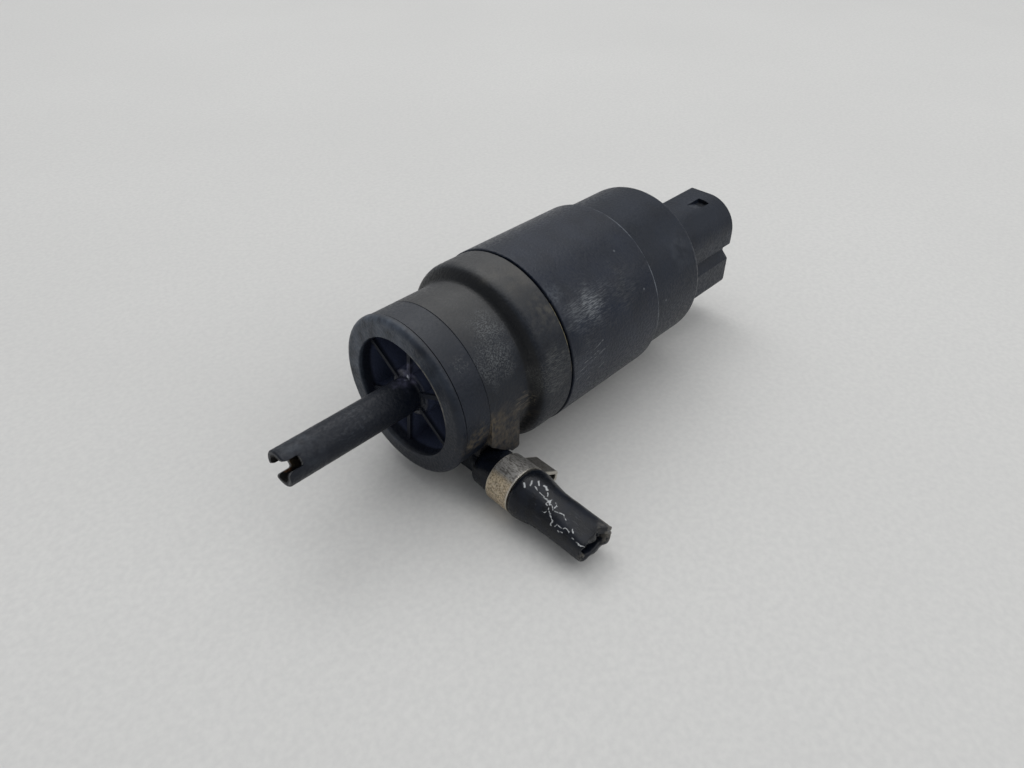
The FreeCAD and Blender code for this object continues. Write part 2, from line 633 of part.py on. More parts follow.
def blade_z(side):
    return CONNECTOR_CENTRE_Z + side * BLADE_SPACING / 2


def contact_blade_solids(grow):
    """Two flat blades through the connector's floor; grow widens them into the slots they sit in."""
    blades = []
    half_y = BLADE_WIDTH / 2 + grow
    half_z = BLADE_THICK / 2 + grow
    start = BELL_BOSS_END_X + SHORT_GAP
    end = CONNECTOR_END_X - BLADE_SETBACK
    corners = [
        (start, -half_y), (end - BLADE_POINT, -half_y), (end, -half_y / 2),
        (end, half_y / 2), (end - BLADE_POINT, half_y), (start, half_y)]
    for side in (-1, 1):
        low_z = blade_z(side) - half_z
        wire = outline(corners, lambda p: FreeCAD.Vector(p.x, CONNECTOR_CENTRE_Y + p.y, low_z))
        blades.append(Part.Face(wire).extrude(FreeCAD.Vector(0, 0, 2 * half_z)))
    return blades


def contact_blades():
    return Part.makeCompound(contact_blade_solids(0))


def hose_stub():
    """The cut-off hose: stretched over the spigot, necked down past it, squashed at its cut end."""
    bore_r = BARB_R + PUSH_FIT
    bulge_r = HOSE_STRETCHED_R + HOSE_BULGE
    outer = turned([
        (HOSE_START, 0), (HOSE_START, HOSE_MOUTH_R, SOFT_EDGE),
        (HOSE_START + HOSE_MOUTH, HOSE_MOUTH_R, FULL_EDGE),
        (CLAMP_START - SHORT_GAP, HOSE_STRETCHED_R), (CLAMP_END, HOSE_STRETCHED_R),
        (CLAMP_END + SHORT_GAP, bulge_r, FINE_EDGE),
        (SPIGOT_LENGTH, bulge_r, HOSE_BULGE_ROUND), (HOSE_NECK_END, HOSE_OUT_R, HOSE_NECK_ROUND),
        (HOSE_FLAT_START, HOSE_OUT_R), (HOSE_FLAT_START, 0)])
    inner = turned([
        (HOSE_START - OVERRUN, 0), (HOSE_START - OVERRUN, bore_r), (SPIGOT_LENGTH + SHORT_GAP, bore_r),
        (HOSE_NECK_END, HOSE_BORE_R), (HOSE_FLAT_START, HOSE_BORE_R), (HOSE_FLAT_START, 0)])

    def squashed(half_width, half_height, x):
        edge = Part.Ellipse(CENTRE, half_width, half_height).toShape()
        edge.rotate(CENTRE, FreeCAD.Vector(1, 1, 1), 120)
        edge.translate(FreeCAD.Vector(x, 0, 0))
        return Part.Wire([edge])

    middle_x = (HOSE_FLAT_START + HOSE_LENGTH) / 2
    outer_flat = Part.makeLoft([
        squashed(HOSE_OUT_R, HOSE_OUT_R, HOSE_FLAT_START),
        squashed(HOSE_OUT_R, (HOSE_OUT_R + HOSE_FLAT_HALF_HEIGHT) / 2, middle_x),
        squashed(HOSE_FLAT_HALF_WIDTH, HOSE_FLAT_HALF_HEIGHT, HOSE_LENGTH)], True)
    inner_flat = Part.makeLoft([
        squashed(HOSE_BORE_R, HOSE_BORE_R, HOSE_FLAT_START),
        squashed(HOSE_BORE_R, (HOSE_BORE_R + HOSE_SLIT_HALF_HEIGHT) / 2, middle_x),
        squashed(HOSE_SLIT_HALF_WIDTH, HOSE_SLIT_HALF_HEIGHT, HOSE_LENGTH)], True)
    sheath = outer.cut(inner)
    squash = outer_flat.cut(inner_flat)
    return at_outlet(joined(sheath, squash))


def hose_clamp():
    """A flat steel band round the hose, drawn tight by a tapered hollow ear on its far side."""
    band = tube(CLAMP_OUT_R, CLAMP_BORE_R, CLAMP_START, CLAMP_END)
    root = math.sqrt((CLAMP_OUT_R - CLAMP_THICK / 2) ** 2 - EAR_FOOT_HALF_WIDTH ** 2)
    top = CLAMP_OUT_R + EAR_HEIGHT
    foot = EAR_FOOT_HALF_WIDTH
    tip = EAR_TIP_HALF_WIDTH
    ear = prism([
        (root, -foot), (top, -tip, EAR_ROUND), (top, tip, EAR_ROUND), (root, foot)],
        CLAMP_START, CLAMP_END)
    inner_foot = foot - 2 * CLAMP_THICK
    inner_tip = tip - CLAMP_THICK
    inner_top = top - CLAMP_THICK
    hollow = prism([
        (CLAMP_OUT_R, -inner_foot), (inner_top, -inner_tip, EAR_ROUND / 2),
        (inner_top, inner_tip, EAR_ROUND / 2), (CLAMP_OUT_R, inner_foot)],
        CLAMP_START - OVERRUN, CLAMP_END + OVERRUN)
    core = rod(CLAMP_BORE_R, CLAMP_START - OVERRUN, CLAMP_END + OVERRUN)
    clamp = joined(band, ear).cut(hollow).cut(core)
    return at_outlet(spun(clamp, EAR_TURN))


def motor_can():
    """The drawn steel can, open at the rear, with the front bearing's boss."""
    boss_x = MOTOR_SEAT_X - CAN_BOSS_LENGTH
    inside_x = MOTOR_SEAT_X + CAN_WALL
    hole_r = SHAFT_R + SPIN_GAP
    return turned([
        (boss_x, hole_r), (boss_x, CAN_BOSS_R, FULL_EDGE), (MOTOR_SEAT_X, CAN_BOSS_R),
        (MOTOR_SEAT_X, CAN_OUT_R, CAN_ROUND), (CAN_END_X, CAN_OUT_R), (CAN_END_X, CAN_BORE_R),
        (inside_x, CAN_BORE_R, CAN_ROUND - CAN_WALL), (inside_x, BEARING_OUT_R),
        (FRONT_BEARING_X, BEARING_OUT_R), (FRONT_BEARING_X, hole_r)])


def bearing(x):
    """A sintered bush with chamfered ends."""
    end = x + BEARING_LENGTH
    return turned([
        (x, SHAFT_R + SHAFT_FIT), (x, BEARING_OUT_R - PUSH_FIT, -FINE_EDGE),
        (end, BEARING_OUT_R - PUSH_FIT, -FINE_EDGE), (end, SHAFT_R + SHAFT_FIT)])


def magnets():
    """Two curved magnets against the can's wall, above and below the rotor."""
    section = outline([
        (MAGNET_START_X, MAGNET_IN_R), (MAGNET_START_X, MAGNET_OUT_R), (MAGNET_END_X, MAGNET_OUT_R),
        (MAGNET_END_X, MAGNET_IN_R)], lambda p: FreeCAD.Vector(p.x, p.y, 0))
    arc = Part.Face(section).revolve(CENTRE, AXIS, MAGNET_ANGLE)
    return Part.makeCompound([spun(arc, middle - MAGNET_ANGLE / 2) for middle in (90, 270)])


def magnet_clips():
    """Two bent wires that spread the magnets apart along the can's wall."""
    reach = MAGNET_OUT_R - CLIP_WIRE_R
    leg_turn = math.radians((180 - MAGNET_ANGLE) / 2) - 1.5 * CLIP_WIRE_R / reach
    leg_y = reach * math.cos(leg_turn)
    leg_z = reach * math.sin(leg_turn)
    start = MAGNET_START_X + CLIP_WIRE_R
    end = MAGNET_END_X - CLIP_WIRE_R
    across = FreeCAD.Vector(0, 1, 0)
    legs = [Part.makeCylinder(CLIP_WIRE_R, end - start, FreeCAD.Vector(start, leg_y, side * leg_z), AXIS)
            for side in (-1, 1)]
    bend = Part.makeTorus(leg_z, CLIP_WIRE_R, FreeCAD.Vector(end, leg_y, 0), across)
    keep = block(end, end + 2 * reach, 0, 2 * reach, -2 * reach, 2 * reach)
    clip = joined(legs[0], legs[1], bend.common(keep))
    return Part.makeCompound([clip, spun(clip, 180)])


def armature_core():
    """The stack of laminations: a hub, five teeth and the tooth tips that face the magnets."""
    hub = rod(CORE_HUB_R, CORE_START_X, CORE_END_X)
    rim = tube(CORE_OUT_R, CORE_RIM_R, CORE_START_X, CORE_END_X)
    mouth = block(CORE_START_X - OVERRUN, CORE_END_X + OVERRUN, 0, 2 * CORE_OUT_R,
                  -TOOTH_MOUTH / 2, TOOTH_MOUTH / 2)
    for cutter in around(mouth, TOOTH_COUNT, 180.0 / TOOTH_COUNT):
        rim = rim.cut(cutter)
    tooth = block(CORE_START_X, CORE_END_X, 0, CORE_OUT_R - TOOTH_TIP / 2,
                  -TOOTH_WIDTH / 2, TOOTH_WIDTH / 2)
    core = joined(hub, rim, *around(tooth, TOOTH_COUNT))
    return core.cut(rod(SHAFT_R + SHAFT_FIT, CORE_START_X - OVERRUN, CORE_END_X + OVERRUN))


def is_along_y(edge):
    """True for a straight edge that runs along Y."""
    span = edge.Vertexes[-1].Point - edge.Vertexes[0].Point
    return abs(span.x) < SAME_PLACE and abs(span.z) < SAME_PLACE


def armature_windings():
    """The copper: one coil round each tooth, its turns standing out past both ends of the core."""
    inner = CORE_HUB_R + COIL_ROOT
    outer = CORE_RIM_R - 2 * COIL_GAP
    half = TOOTH_WIDTH / 2 + COIL_GAP
    start = CORE_START_X - COIL_OVERHANG
    coil = block(start, COIL_END_X, inner, outer, -half - COIL_DEPTH, half + COIL_DEPTH)
    coil = coil.makeFillet(COIL_ROUND, [edge for edge in coil.Edges if is_along_y(edge)])
    half_share = math.radians(180 / TOOTH_COUNT)
    apex = COIL_GAP / math.sin(half_share)
    far = 2 * CORE_OUT_R
    far_half = (far - apex) * math.tan(half_share)
    share = prism([(apex, 0), (far, -far_half), (far, far_half)], start, COIL_END_X)
    coil = coil.common(share).common(rod(outer, start, COIL_END_X))
    window = block(CORE_START_X - COIL_GAP, CORE_END_X + COIL_GAP, 0, far, -half, half)
    return Part.makeCompound(around(coil.cut(window), TOOTH_COUNT))


def commutator():
    """Copper bars on an insulating hub, with a tang for each coil."""
    body = tube(COMMUTATOR_R, SHAFT_R + SHAFT_FIT, COMMUTATOR_START_X, COMMUTATOR_END_X)
    tang = block(COMMUTATOR_START_X, COMMUTATOR_START_X + TANG_LENGTH, COMMUTATOR_R - TANG_LENGTH,
                 COMMUTATOR_R + TANG_REACH, -TANG_LENGTH, TANG_LENGTH)
    slit = block(COMMUTATOR_START_X - OVERRUN, COMMUTATOR_END_X + OVERRUN,
                 COMMUTATOR_R - COMMUTATOR_CUT, COMMUTATOR_R + OVERRUN,
                 -COMMUTATOR_SLIT / 2, COMMUTATOR_SLIT / 2)
    body = joined(body, *around(tang, TOOTH_COUNT))
    for cutter in around(slit, TOOTH_COUNT, 180.0 / TOOTH_COUNT):
        body = body.cut(cutter)
    return body


def motor_shaft():
    """The ground steel shaft, from the impeller's hub to the rear bearing."""
    return turned([
        (SHAFT_START_X, 0), (SHAFT_START_X, SHAFT_R, -FINE_EDGE), (SHAFT_END_X, SHAFT_R, -FINE_EDGE),
        (SHAFT_END_X, 0)])


def thrust_washers():
    """Two fibre washers on the shaft, one beside each bearing."""
    front = FRONT_BEARING_X + BEARING_LENGTH + SHORT_GAP
    rear = REAR_BEARING_X - SHORT_GAP - WASHER_THICK
    rings = [tube(WASHER_OUT_R, SHAFT_R + SHAFT_FIT, x, x + WASHER_THICK) for x in (front, rear)]
    return Part.makeCompound(rings)


def end_bell():
    """The plastic end plate that closes the can and holds the rear bearing and the brush arms."""
    skirt_r = CAN_BORE_R - PUSH_FIT
    skirt_x = CAN_END_X - BELL_SKIRT
    bearing_end = REAR_BEARING_X + BEARING_LENGTH
    pit_end = SHAFT_END_X + SHAFT_PLAY / 2
    pit_r = SHAFT_R + SPIN_GAP
    body = turned([
        (skirt_x, skirt_r - BELL_SKIRT_WALL), (skirt_x, skirt_r, -FINE_EDGE), (CAN_END_X, skirt_r),
        (CAN_END_X, CAN_OUT_R), (BELL_END_X, CAN_OUT_R, -SOFT_EDGE), (BELL_END_X, BELL_BOSS_R),
        (BELL_BOSS_END_X, BELL_BOSS_R, -SOFT_EDGE), (BELL_BOSS_END_X, 0), (pit_end, 0), (pit_end, pit_r),
        (bearing_end, pit_r), (bearing_end, BEARING_OUT_R), (CAN_END_X, BEARING_OUT_R),
        (CAN_END_X, skirt_r - BELL_SKIRT_WALL)])
    for slot in brush_arm_solids(PUSH_FIT):
        body = body.cut(slot)
    return body


def brush_arm_solids(grow):
    """Two spring strips, from a tail through the end plate to the back of a brush."""
    half = ARM_WIDTH / 2 + grow
    start = BRUSH_START_X - ARM_THICK
    arm = block(start, BELL_END_X + ARM_TAIL, BRUSH_BACK_R - grow, BRUSH_BACK_R + ARM_THICK + grow,
                -half, half)
    return [spun(arm, 90), spun(arm, 270)]


def brush_arms():
    return Part.makeCompound(brush_arm_solids(0))


def brushes():
    """Two carbon blocks hollowed to the commutator's curve."""
    wear_r = COMMUTATOR_R + BRUSH_GAP
    end = BRUSH_START_X + BRUSH_WIDTH
    brush = block(BRUSH_START_X, end, wear_r - COMMUTATOR_CUT, BRUSH_BACK_R,
                  -BRUSH_LENGTH / 2, BRUSH_LENGTH / 2)
    brush = brush.cut(rod(wear_r, BRUSH_START_X - OVERRUN, end + OVERRUN))
    return Part.makeCompound([spun(brush, 90), spun(brush, 270)])


def lead_straps():
    """Two stamped straps that join the brush arms' tails to the connector's blades."""
    straps = []
    start = BELL_END_X + PUSH_FIT
    end = CAP_END_X - CAP_BACK - SHORT_GAP
    inner_r = BRUSH_BACK_R + ARM_THICK
    outer_r = inner_r + ARM_THICK
    for side in (-1, 1):
        tab_z = sorted((side * inner_r, side * outer_r))
        tab = block(start, end, -ARM_WIDTH / 2, ARM_WIDTH / 2, *tab_z)
        foot_z = sorted((blade_z(side) + side * BLADE_THICK / 2, side * outer_r))
        bridge = block(end - ARM_THICK, end, CONNECTOR_CENTRE_Y - BLADE_WIDTH / 2, ARM_WIDTH / 2, *foot_z)
        straps.append(joined(tab, bridge))
    return Part.makeCompound(straps)


def motor_dampers():
    """Two rubber bands that hold the can in the sleeve."""
    starts = (SLEEVE_START_X + DAMPER_INSET, SLEEVE_END_X - CAP_LAP - DAMPER_INSET - DAMPER_WIDTH)
    bands = [tube(SLEEVE_BORE_R - PUSH_FIT, CAN_OUT_R + PUSH_FIT, x, x + DAMPER_WIDTH) for x in starts]
    return Part.makeCompound(bands)


NODES = {
    "inlet_cover": inlet_cover,
    "cover_o_ring": cover_o_ring,
    "pump_housing": pump_housing,
    "impeller": impeller,
    "shaft_seal": shaft_seal,
    "seal_retainer": seal_retainer,
    "body_o_ring": body_o_ring,
    "motor_sleeve": motor_sleeve,
    "motor_dampers": motor_dampers,
    "motor_can": motor_can,
    "front_bearing": lambda: bearing(FRONT_BEARING_X),
    "rear_bearing": lambda: bearing(REAR_BEARING_X),
    "magnets": magnets,
    "magnet_clips": magnet_clips,
    "armature_core": armature_core,
    "armature_windings": armature_windings,
    "commutator": commutator,
    "motor_shaft": motor_shaft,
    "thrust_washers": thrust_washers,
    "end_bell": end_bell,
    "brush_arms": brush_arms,
    "brushes": brushes,
    "lead_straps": lead_straps,
    "connector_cap": connector_cap,
    "contact_blades": contact_blades,
    "hose_stub": hose_stub,
    "hose_clamp": hose_clamp,
}


def main():
    os.makedirs("parts", exist_ok=True)
    for name, build in NODES.items():
        shape = build()
        shape.exportStep("parts/" + name + ".step")
        print(name, len(shape.Solids), "solids, valid", shape.isValid(), "volume", round(shape.Volume, 1))


main()
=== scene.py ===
"""Looks of the vehicle washer pump: the finish of each piece, the cut-off hose, the table top and the light."""

import math

import bmesh
import bpy
from mathutils import Matrix, Vector, noise


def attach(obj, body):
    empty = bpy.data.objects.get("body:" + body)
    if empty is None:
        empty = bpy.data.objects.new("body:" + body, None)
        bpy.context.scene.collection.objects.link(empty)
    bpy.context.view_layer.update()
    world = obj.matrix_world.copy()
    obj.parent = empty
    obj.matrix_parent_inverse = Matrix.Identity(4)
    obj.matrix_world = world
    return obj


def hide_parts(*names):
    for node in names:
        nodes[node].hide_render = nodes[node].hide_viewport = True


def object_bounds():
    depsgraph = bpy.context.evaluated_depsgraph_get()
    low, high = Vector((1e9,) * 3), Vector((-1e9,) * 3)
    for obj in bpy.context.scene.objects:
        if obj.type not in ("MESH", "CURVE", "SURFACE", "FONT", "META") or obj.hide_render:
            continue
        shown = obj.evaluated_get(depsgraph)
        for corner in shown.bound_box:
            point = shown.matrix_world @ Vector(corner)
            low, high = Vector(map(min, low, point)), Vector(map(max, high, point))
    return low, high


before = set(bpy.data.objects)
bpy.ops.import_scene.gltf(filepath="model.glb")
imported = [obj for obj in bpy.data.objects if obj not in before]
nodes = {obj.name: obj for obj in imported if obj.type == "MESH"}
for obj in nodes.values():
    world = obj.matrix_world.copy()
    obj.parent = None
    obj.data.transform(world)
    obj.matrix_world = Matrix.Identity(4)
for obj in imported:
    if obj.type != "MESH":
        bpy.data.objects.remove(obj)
cad_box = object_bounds()

MM = 0.001

# The outlet's own axis, as the CAD places it: x runs out along the hose from the boss
OUTLET_PLACE = Vector((10.5, -18.15, -16.2)) * MM
OUTLET_TURN = math.radians(-92.4)
OUTLET = Matrix.Translation(OUTLET_PLACE) @ Matrix.Rotation(OUTLET_TURN, 4, "Z")

# The table top lies at the pump's lowest point
FLOOR_Z = cad_box[0][2]

# The lamps look at the pump's head
LAMP_AIM = Vector((20.0, 0, 0)) * MM

# A wave texture repeats each time its scaled coordinate grows by this much
WAVE_PERIOD = 2 * math.pi / 20

# A Mix node's data types share their sockets' names, so these go by number: the two inputs and the output
COLOUR_A, COLOUR_B, COLOUR_OUT = 6, 7, 2
NUMBER_A, NUMBER_B, NUMBER_OUT = 2, 3, 0


def linear(code):
    """The linear colour of an sRGB hex code."""
    parts = [int(code[i:i + 2], 16) / 255 for i in (1, 3, 5)]
    return tuple(c / 12.92 if c <= 0.04045 else ((c + 0.055) / 1.055) ** 2.4 for c in parts) + (1.0,)


def fill(node, sockets):
    """Gives a node's sockets their values or links."""
    for key, value in sockets.items():
        if isinstance(value, bpy.types.NodeSocket):
            node.id_data.links.new(value, node.inputs[key])
        else:
            node.inputs[key].default_value = value


def add(beside, kind, sockets=None, **settings):
    """Adds a node, with its settings, values and links, to the material that another node or socket is in."""
    node = beside.id_data.nodes.new(kind)
    for name, value in settings.items():
        setattr(node, name, value)
    fill(node, sockets or {})
    return node


def new_finish(name):
    """A new material, its shader, and the object's own coordinates in metres."""
    material = bpy.data.materials.new(name)
    material.use_nodes = True
    shader = material.node_tree.nodes["Principled BSDF"]
    place = add(shader, "ShaderNodeTexCoord").outputs["Object"]
    return material, shader, place


def dress(name, material):
    """Gives a CAD node its finish."""
    for slot in nodes[name].material_slots:
        slot.material = material


# Patterns that the finishes share. Sizes and places are in millimetres, and turns in degrees.

def speckle(place, size, low=0.3, high=0.7, detail=3.0):
    """A cloudy pattern of the given size, cut to 0 under low and to 1 over high."""
    cloud = add(place, "ShaderNodeTexNoise", {"Vector": place, "Scale": 1 / (size * MM), "Detail": detail})
    cut = add(place, "ShaderNodeMapRange", {"Value": cloud.outputs["Fac"], "From Min": low, "From Max": high})
    return cut.outputs["Result"]


def scratches(place, width, length, turn=(0, 0, 0), low=0.35, high=0.65):
    """Fine streaks of that width and length, which run along X before the turn about each axis."""
    turned = add(place, "ShaderNodeMapping", {
        "Vector": place, "Rotation": [math.radians(angle) for angle in turn],
        "Scale": (1 / (length * MM), 1 / (width * MM), 1 / (width * MM))})
    streak = add(place, "ShaderNodeTexNoise", {"Vector": turned.outputs["Vector"], "Scale": 1.0, "Detail": 2.0})
    cut = add(place, "ShaderNodeMapRange", {"Value": streak.outputs["Fac"], "From Min": low, "From Max": high})
    return cut.outputs["Result"]


def astray(place, wander, wave):
    """The place moved about by the wander, in waves of the given length, which gives what is drawn an uneven edge."""
    drift = add(place, "ShaderNodeTexNoise", {"Vector": place, "Scale": 1 / (wave * MM), "Detail": 2.0})
    centred = add(place, "ShaderNodeVectorMath", {0: drift.outputs["Color"], 1: (0.5, 0.5, 0.5)},
                  operation="SUBTRACT")
    return add(place, "ShaderNodeVectorMath", {0: centred.outputs["Vector"], 1: [wander * MM] * 3, 2: place},
               operation="MULTIPLY_ADD").outputs["Vector"]


def fading(place, centre, core, reach, axes=(1, 1, 1)):
    """1 up to core from a centre and 0 from reach, with the distance counted along the given axes alone."""
    counted = add(place, "ShaderNodeVectorMath", {0: place, 1: axes}, operation="MULTIPLY")
    away = add(place, "ShaderNodeVectorMath", {0: counted.outputs["Vector"], 1: Vector(centre) * MM},
               operation="DISTANCE")
    fade = add(place, "ShaderNodeMapRange", {
        "Value": away.outputs["Value"], "From Min": core * MM, "From Max": reach * MM,
        "To Min": 1.0, "To Max": 0.0}, interpolation_type="SMOOTHSTEP")
    return fade.outputs["Result"]


def near(place, centre, core, reach):
    """1 near a point of the piece, fading with an uneven edge."""
    return fading(astray(place, wander=1.2 * reach, wave=0.5 * reach), centre, core, reach)


def ring_line(place, station, core, reach):
    """1 on the ring at that station of the axis, fading to both sides."""
    return fading(place, (station, 0, 0), core, reach, axes=(1, 0, 0))


def within(place, core, reach):
    """1 inside the radius core about the axis, fading outwards."""
    return fading(place, (0, 0, 0), core, reach, axes=(0, 1, 1))


def past(place, axis, start, end):
    """0 before start and 1 past end, along one axis."""
    parts = add(place, "ShaderNodeSeparateXYZ", {"Vector": place})
    climb = add(place, "ShaderNodeMapRange", {
        "Value": parts.outputs[axis], "From Min": start * MM, "From Max": end * MM})
    return climb.outputs["Result"]


def facing_up(place):
    """How far the surface faces up, for dust and painted top light: none on a slope of 44 degrees, all on the level.
    """
    normal = add(place, "ShaderNodeNewGeometry").outputs["Normal"]
    up = add(place, "ShaderNodeSeparateXYZ", {"Vector": normal})
    fade = add(place, "ShaderNodeMapRange", {"Value": up.outputs["Z"], "From Min": 0.72, "From Max": 1.0})
    return fade.outputs["Result"]


def strokes(place, half_width, wander, lines):
    """1 along crooked lines that are drawn through points of the surface, with a soft edge about the half width."""
    bent = astray(place, wander, wave=1.1)
    nearest = None
    for line in lines:
        points = [Vector(point).to_3d() * MM for point in line]
        for start, end in zip(points, points[1:]):
            run = end - start
            off = add(place, "ShaderNodeVectorMath", {0: bent, 1: start}, operation="SUBTRACT").outputs["Vector"]
            share = add(place, "ShaderNodeVectorMath", {0: off, 1: run / run.length_squared},
                        operation="DOT_PRODUCT")
            held = add(place, "ShaderNodeClamp", {"Value": share.outputs["Value"]}).outputs["Result"]
            foot = add(place, "ShaderNodeVectorMath", {0: run, "Scale": held}, operation="SCALE").outputs["Vector"]
            away = add(place, "ShaderNodeVectorMath", {0: off, 1: foot}, operation="DISTANCE").outputs["Value"]
            nearest = away if nearest is None else add(
                place, "ShaderNodeMath", {0: nearest, 1: away}, operation="MINIMUM").outputs["Value"]
    edge = add(place, "ShaderNodeMapRange", {
        "Value": nearest, "From Min": 0.5 * half_width * MM, "From Max": 1.4 * half_width * MM,
        "To Min": 1.0, "To Max": 0.0})
    return edge.outputs["Result"]


def together(*masks):
    """The product of masks and plain shares. A mask comes first."""
    result = masks[0]
    for mask in masks[1:]:
        result = add(result, "ShaderNodeMath", {0: result, 1: mask}, operation="MULTIPLY").outputs["Value"]
    return result


def either(*masks):
    """The strongest of some masks."""
    result = masks[0]
    for mask in masks[1:]:
        result = add(result, "ShaderNodeMath", {0: result, 1: mask}, operation="MAXIMUM").outputs["Value"]
    return result


def coloured(low_code, high_code, mask, layers=()):
    """A colour between two by a mask, with more colours laid over it by their own masks."""
    result = add(mask, "ShaderNodeMix", {"Factor": mask, COLOUR_A: linear(low_code), COLOUR_B: linear(high_code)},
                 data_type="RGBA").outputs[COLOUR_OUT]
    for layer_mask, code in layers:
        result = add(mask, "ShaderNodeMix", {"Factor": layer_mask, COLOUR_A: result, COLOUR_B: linear(code)},
                     data_type="RGBA").outputs[COLOUR_OUT]
    return result


def valued(low, high, mask, layers=()):
    """A number between two by a mask, with more numbers laid over it by their own masks."""
    result = add(mask, "ShaderNodeMix", {"Factor": mask, NUMBER_A: low, NUMBER_B: high},
                 data_type="FLOAT").outputs[NUMBER_OUT]
    for layer_mask, value in layers:
        result = add(mask, "ShaderNodeMix", {"Factor": layer_mask, NUMBER_A: result, NUMBER_B: value},
                     data_type="FLOAT").outputs[NUMBER_OUT]
    return result


def raised(shader, heights):
    """Bumps the surface by masks that each stand that many millimetres proud."""
    total = 0.0
    for mask, height in heights:
        total = add(shader, "ShaderNodeMath", {0: mask, 1: height * MM, 2: total},
                    operation="MULTIPLY_ADD").outputs["Value"]
    bump = add(shader, "ShaderNodeBump", {"Height": total, "Distance": 1.0})
    fill(shader, {"Normal": bump.outputs["Normal"]})


# The black plastic pieces and their marks. Real scratches are finer than 0.1 mm; they are drawn 0.16 to 0.4 mm
# wide so that they show.

def glass_filled_nylon(name, low_code, high_code, marks, dust, dust_and_top_light_code="#7d7e7f", roughness=(0.34, 0.54)):
    """Black glass-filled nylon from an injection mould with a sparked surface.

    The eye sees a matt bluish black with a fine grain, a soft sheen towards the light, and grey where it is rubbed.
    dust is the share of grey laid on what faces up, which stands both for dust and for painted light on the tops.
    marks gives the dirt, scuffs and painted light and shade of the piece as (mask, colour, height in mm), and one
    that stands proud is also rougher.
    """
    material, shader, place = new_finish(name)
    mottle = speckle(place, 6.0, detail=6.0)
    # The real grain is about 0.2 mm; it is drawn at 0.65 mm so that it shows
    grain = speckle(place, 0.65, 0.38, 0.62)
    # The grey on what faces up stands both for dust and for painted light on the tops
    dust_and_top_light = together(facing_up(place), valued(0.7, 1.0, mottle), dust)
    layers = [(together(grain, 0.4), "#20262f"), (dust_and_top_light, dust_and_top_light_code)]
    heights = [(grain, 0.03)]
    # Dust, dirt and the grey painted on the tops are duller than the plastic
    rough = [(dust_and_top_light, 0.7)]
    for mask, code, height in marks(place):
        layers.append((mask, code))
        if height:
            heights.append((mask, height))
            rough.append((mask, 0.75))
    low_rough, high_rough = roughness
    fill(shader, {"Base Color": coloured(low_code, high_code, mottle, layers),
                  "Roughness": valued(low_rough, high_rough, grain, rough),
                  "IOR": 1.53, "Specular IOR Level": 0.28})
    raised(shader, heights)
    return material


def cup_marks(place):
    """Brown road dirt low on the cup, its rim face lighter towards the top, and a painted highlight on the worn
    inner edge of its mouth. Its hollows hold bluish painted shade, and their deep pockets painted reflected light.
    """
    # This mask colours the rim's front face lighter and bluer towards its top, in patches
    rubbed = together(ring_line(place, 0.2, 0.5, 1.6), near(place, (0, 14, 8), 8, 32),
                      speckle(place, 3.0, 0.2), 0.6)
    # Painted shade inside the cup: a bluish dark on its inner walls
    cavity = together(within(place, 14.3, 14.8), ring_line(place, 4.8, 3.6, 4.3))
    # Painted reflected light: the deep pockets between the ribs are coloured a lighter bluish grey
    pockets = together(within(place, 13.9, 14.3), ring_line(place, 8.5, 5.0, 6.0), 0.9)
    low_dirt = together(near(place, (4.5, -18, -4), 1, 5.5), speckle(place, 0.9, 0.42, 0.62), 0.5)
    # A painted highlight on the worn inner edge of the cup's mouth
    mouth = together(ring_line(place, 0.3, 0.3, 0.8), within(place, 14.2, 14.6),
                     near(place, (0, -10, 9.5), 4, 10), speckle(place, 1.4, 0.3, 0.6), 0.75)
    specks = together(near(place, (5.4, -13.1, 12.5), 0.5, 2.6), speckle(place, 0.35, 0.5, 0.64), 0.16)
    rib_fronts = together(ring_line(place, 2.2, 0.1, 0.2), within(place, 13.0, 13.4), 0.9)
    return [(rubbed, "#626b78", 0.0), (cavity, "#171b26", 0.0), (pockets, "#474e64", 0.0),
            (low_dirt, "#6b614f", 0.015), (mouth, "#8f8b80", 0.0), (specks, "#8b8c8a", 0.005),
            (rib_fronts, "#151a24", 0.004)]


def pipe_marks(place):
    """Faint bluish scuffs on the pipe, a painted sheen and a painted glint where it meets the hub, and olive crust
    inside its slotted tip.
    """
    wiped = together(within(place, 4.2, 4.5), 0.92)
    # A painted purplish sheen on the hub round the pipe's root
    hub_sheen = together(near(place, (2.4, 0.6, 4.9), 1.2, 4.6), speckle(place, 1.2), 0.75)
    # A near-white spot on the hub is a painted glint
    hub_glint = near(place, (1.8, -0.4, 4.6), 0.25, 0.8)
    scuffed = together(near(place, (-24, -0.5, 4), 1, 7), speckle(place, 1.8, 0.35), 0.2)
    middle = together(near(place, (-13, -2.5, 3), 1, 7), scratches(place, 0.4, 0.9, (0, 0, 70), 0.52, 0.7), 0.16)
    bore = together(within(place, 2.85, 3.3), near(place, (-27, 0, 0), 3.5, 6.0))
    crust = together(near(place, (-24.8, 2.1, -1.8), 1.0, 2.2), bore, speckle(place, 1.2, 0.3, 0.5))
    rust = together(near(place, (-26.8, 1.8, -2.1), 0.4, 1.3), bore)
    return [(wiped, "#0c121d", 0.0), (hub_sheen, "#6f6f88", 0.0), (hub_glint, "#d5d8e0", 0.0),
            (scuffed, "#6d747c", 0.005), (middle, "#646b74", 0.005), (bore, "#12110f", 0.02),
            (crust, "#554b39", 0.08), (rust, "#96633c", 0.08)]


def inlet_marks(place):
    """All the marks of the inlet cover, which is the cup with its pipe."""
    return cup_marks(place) + pipe_marks(place)


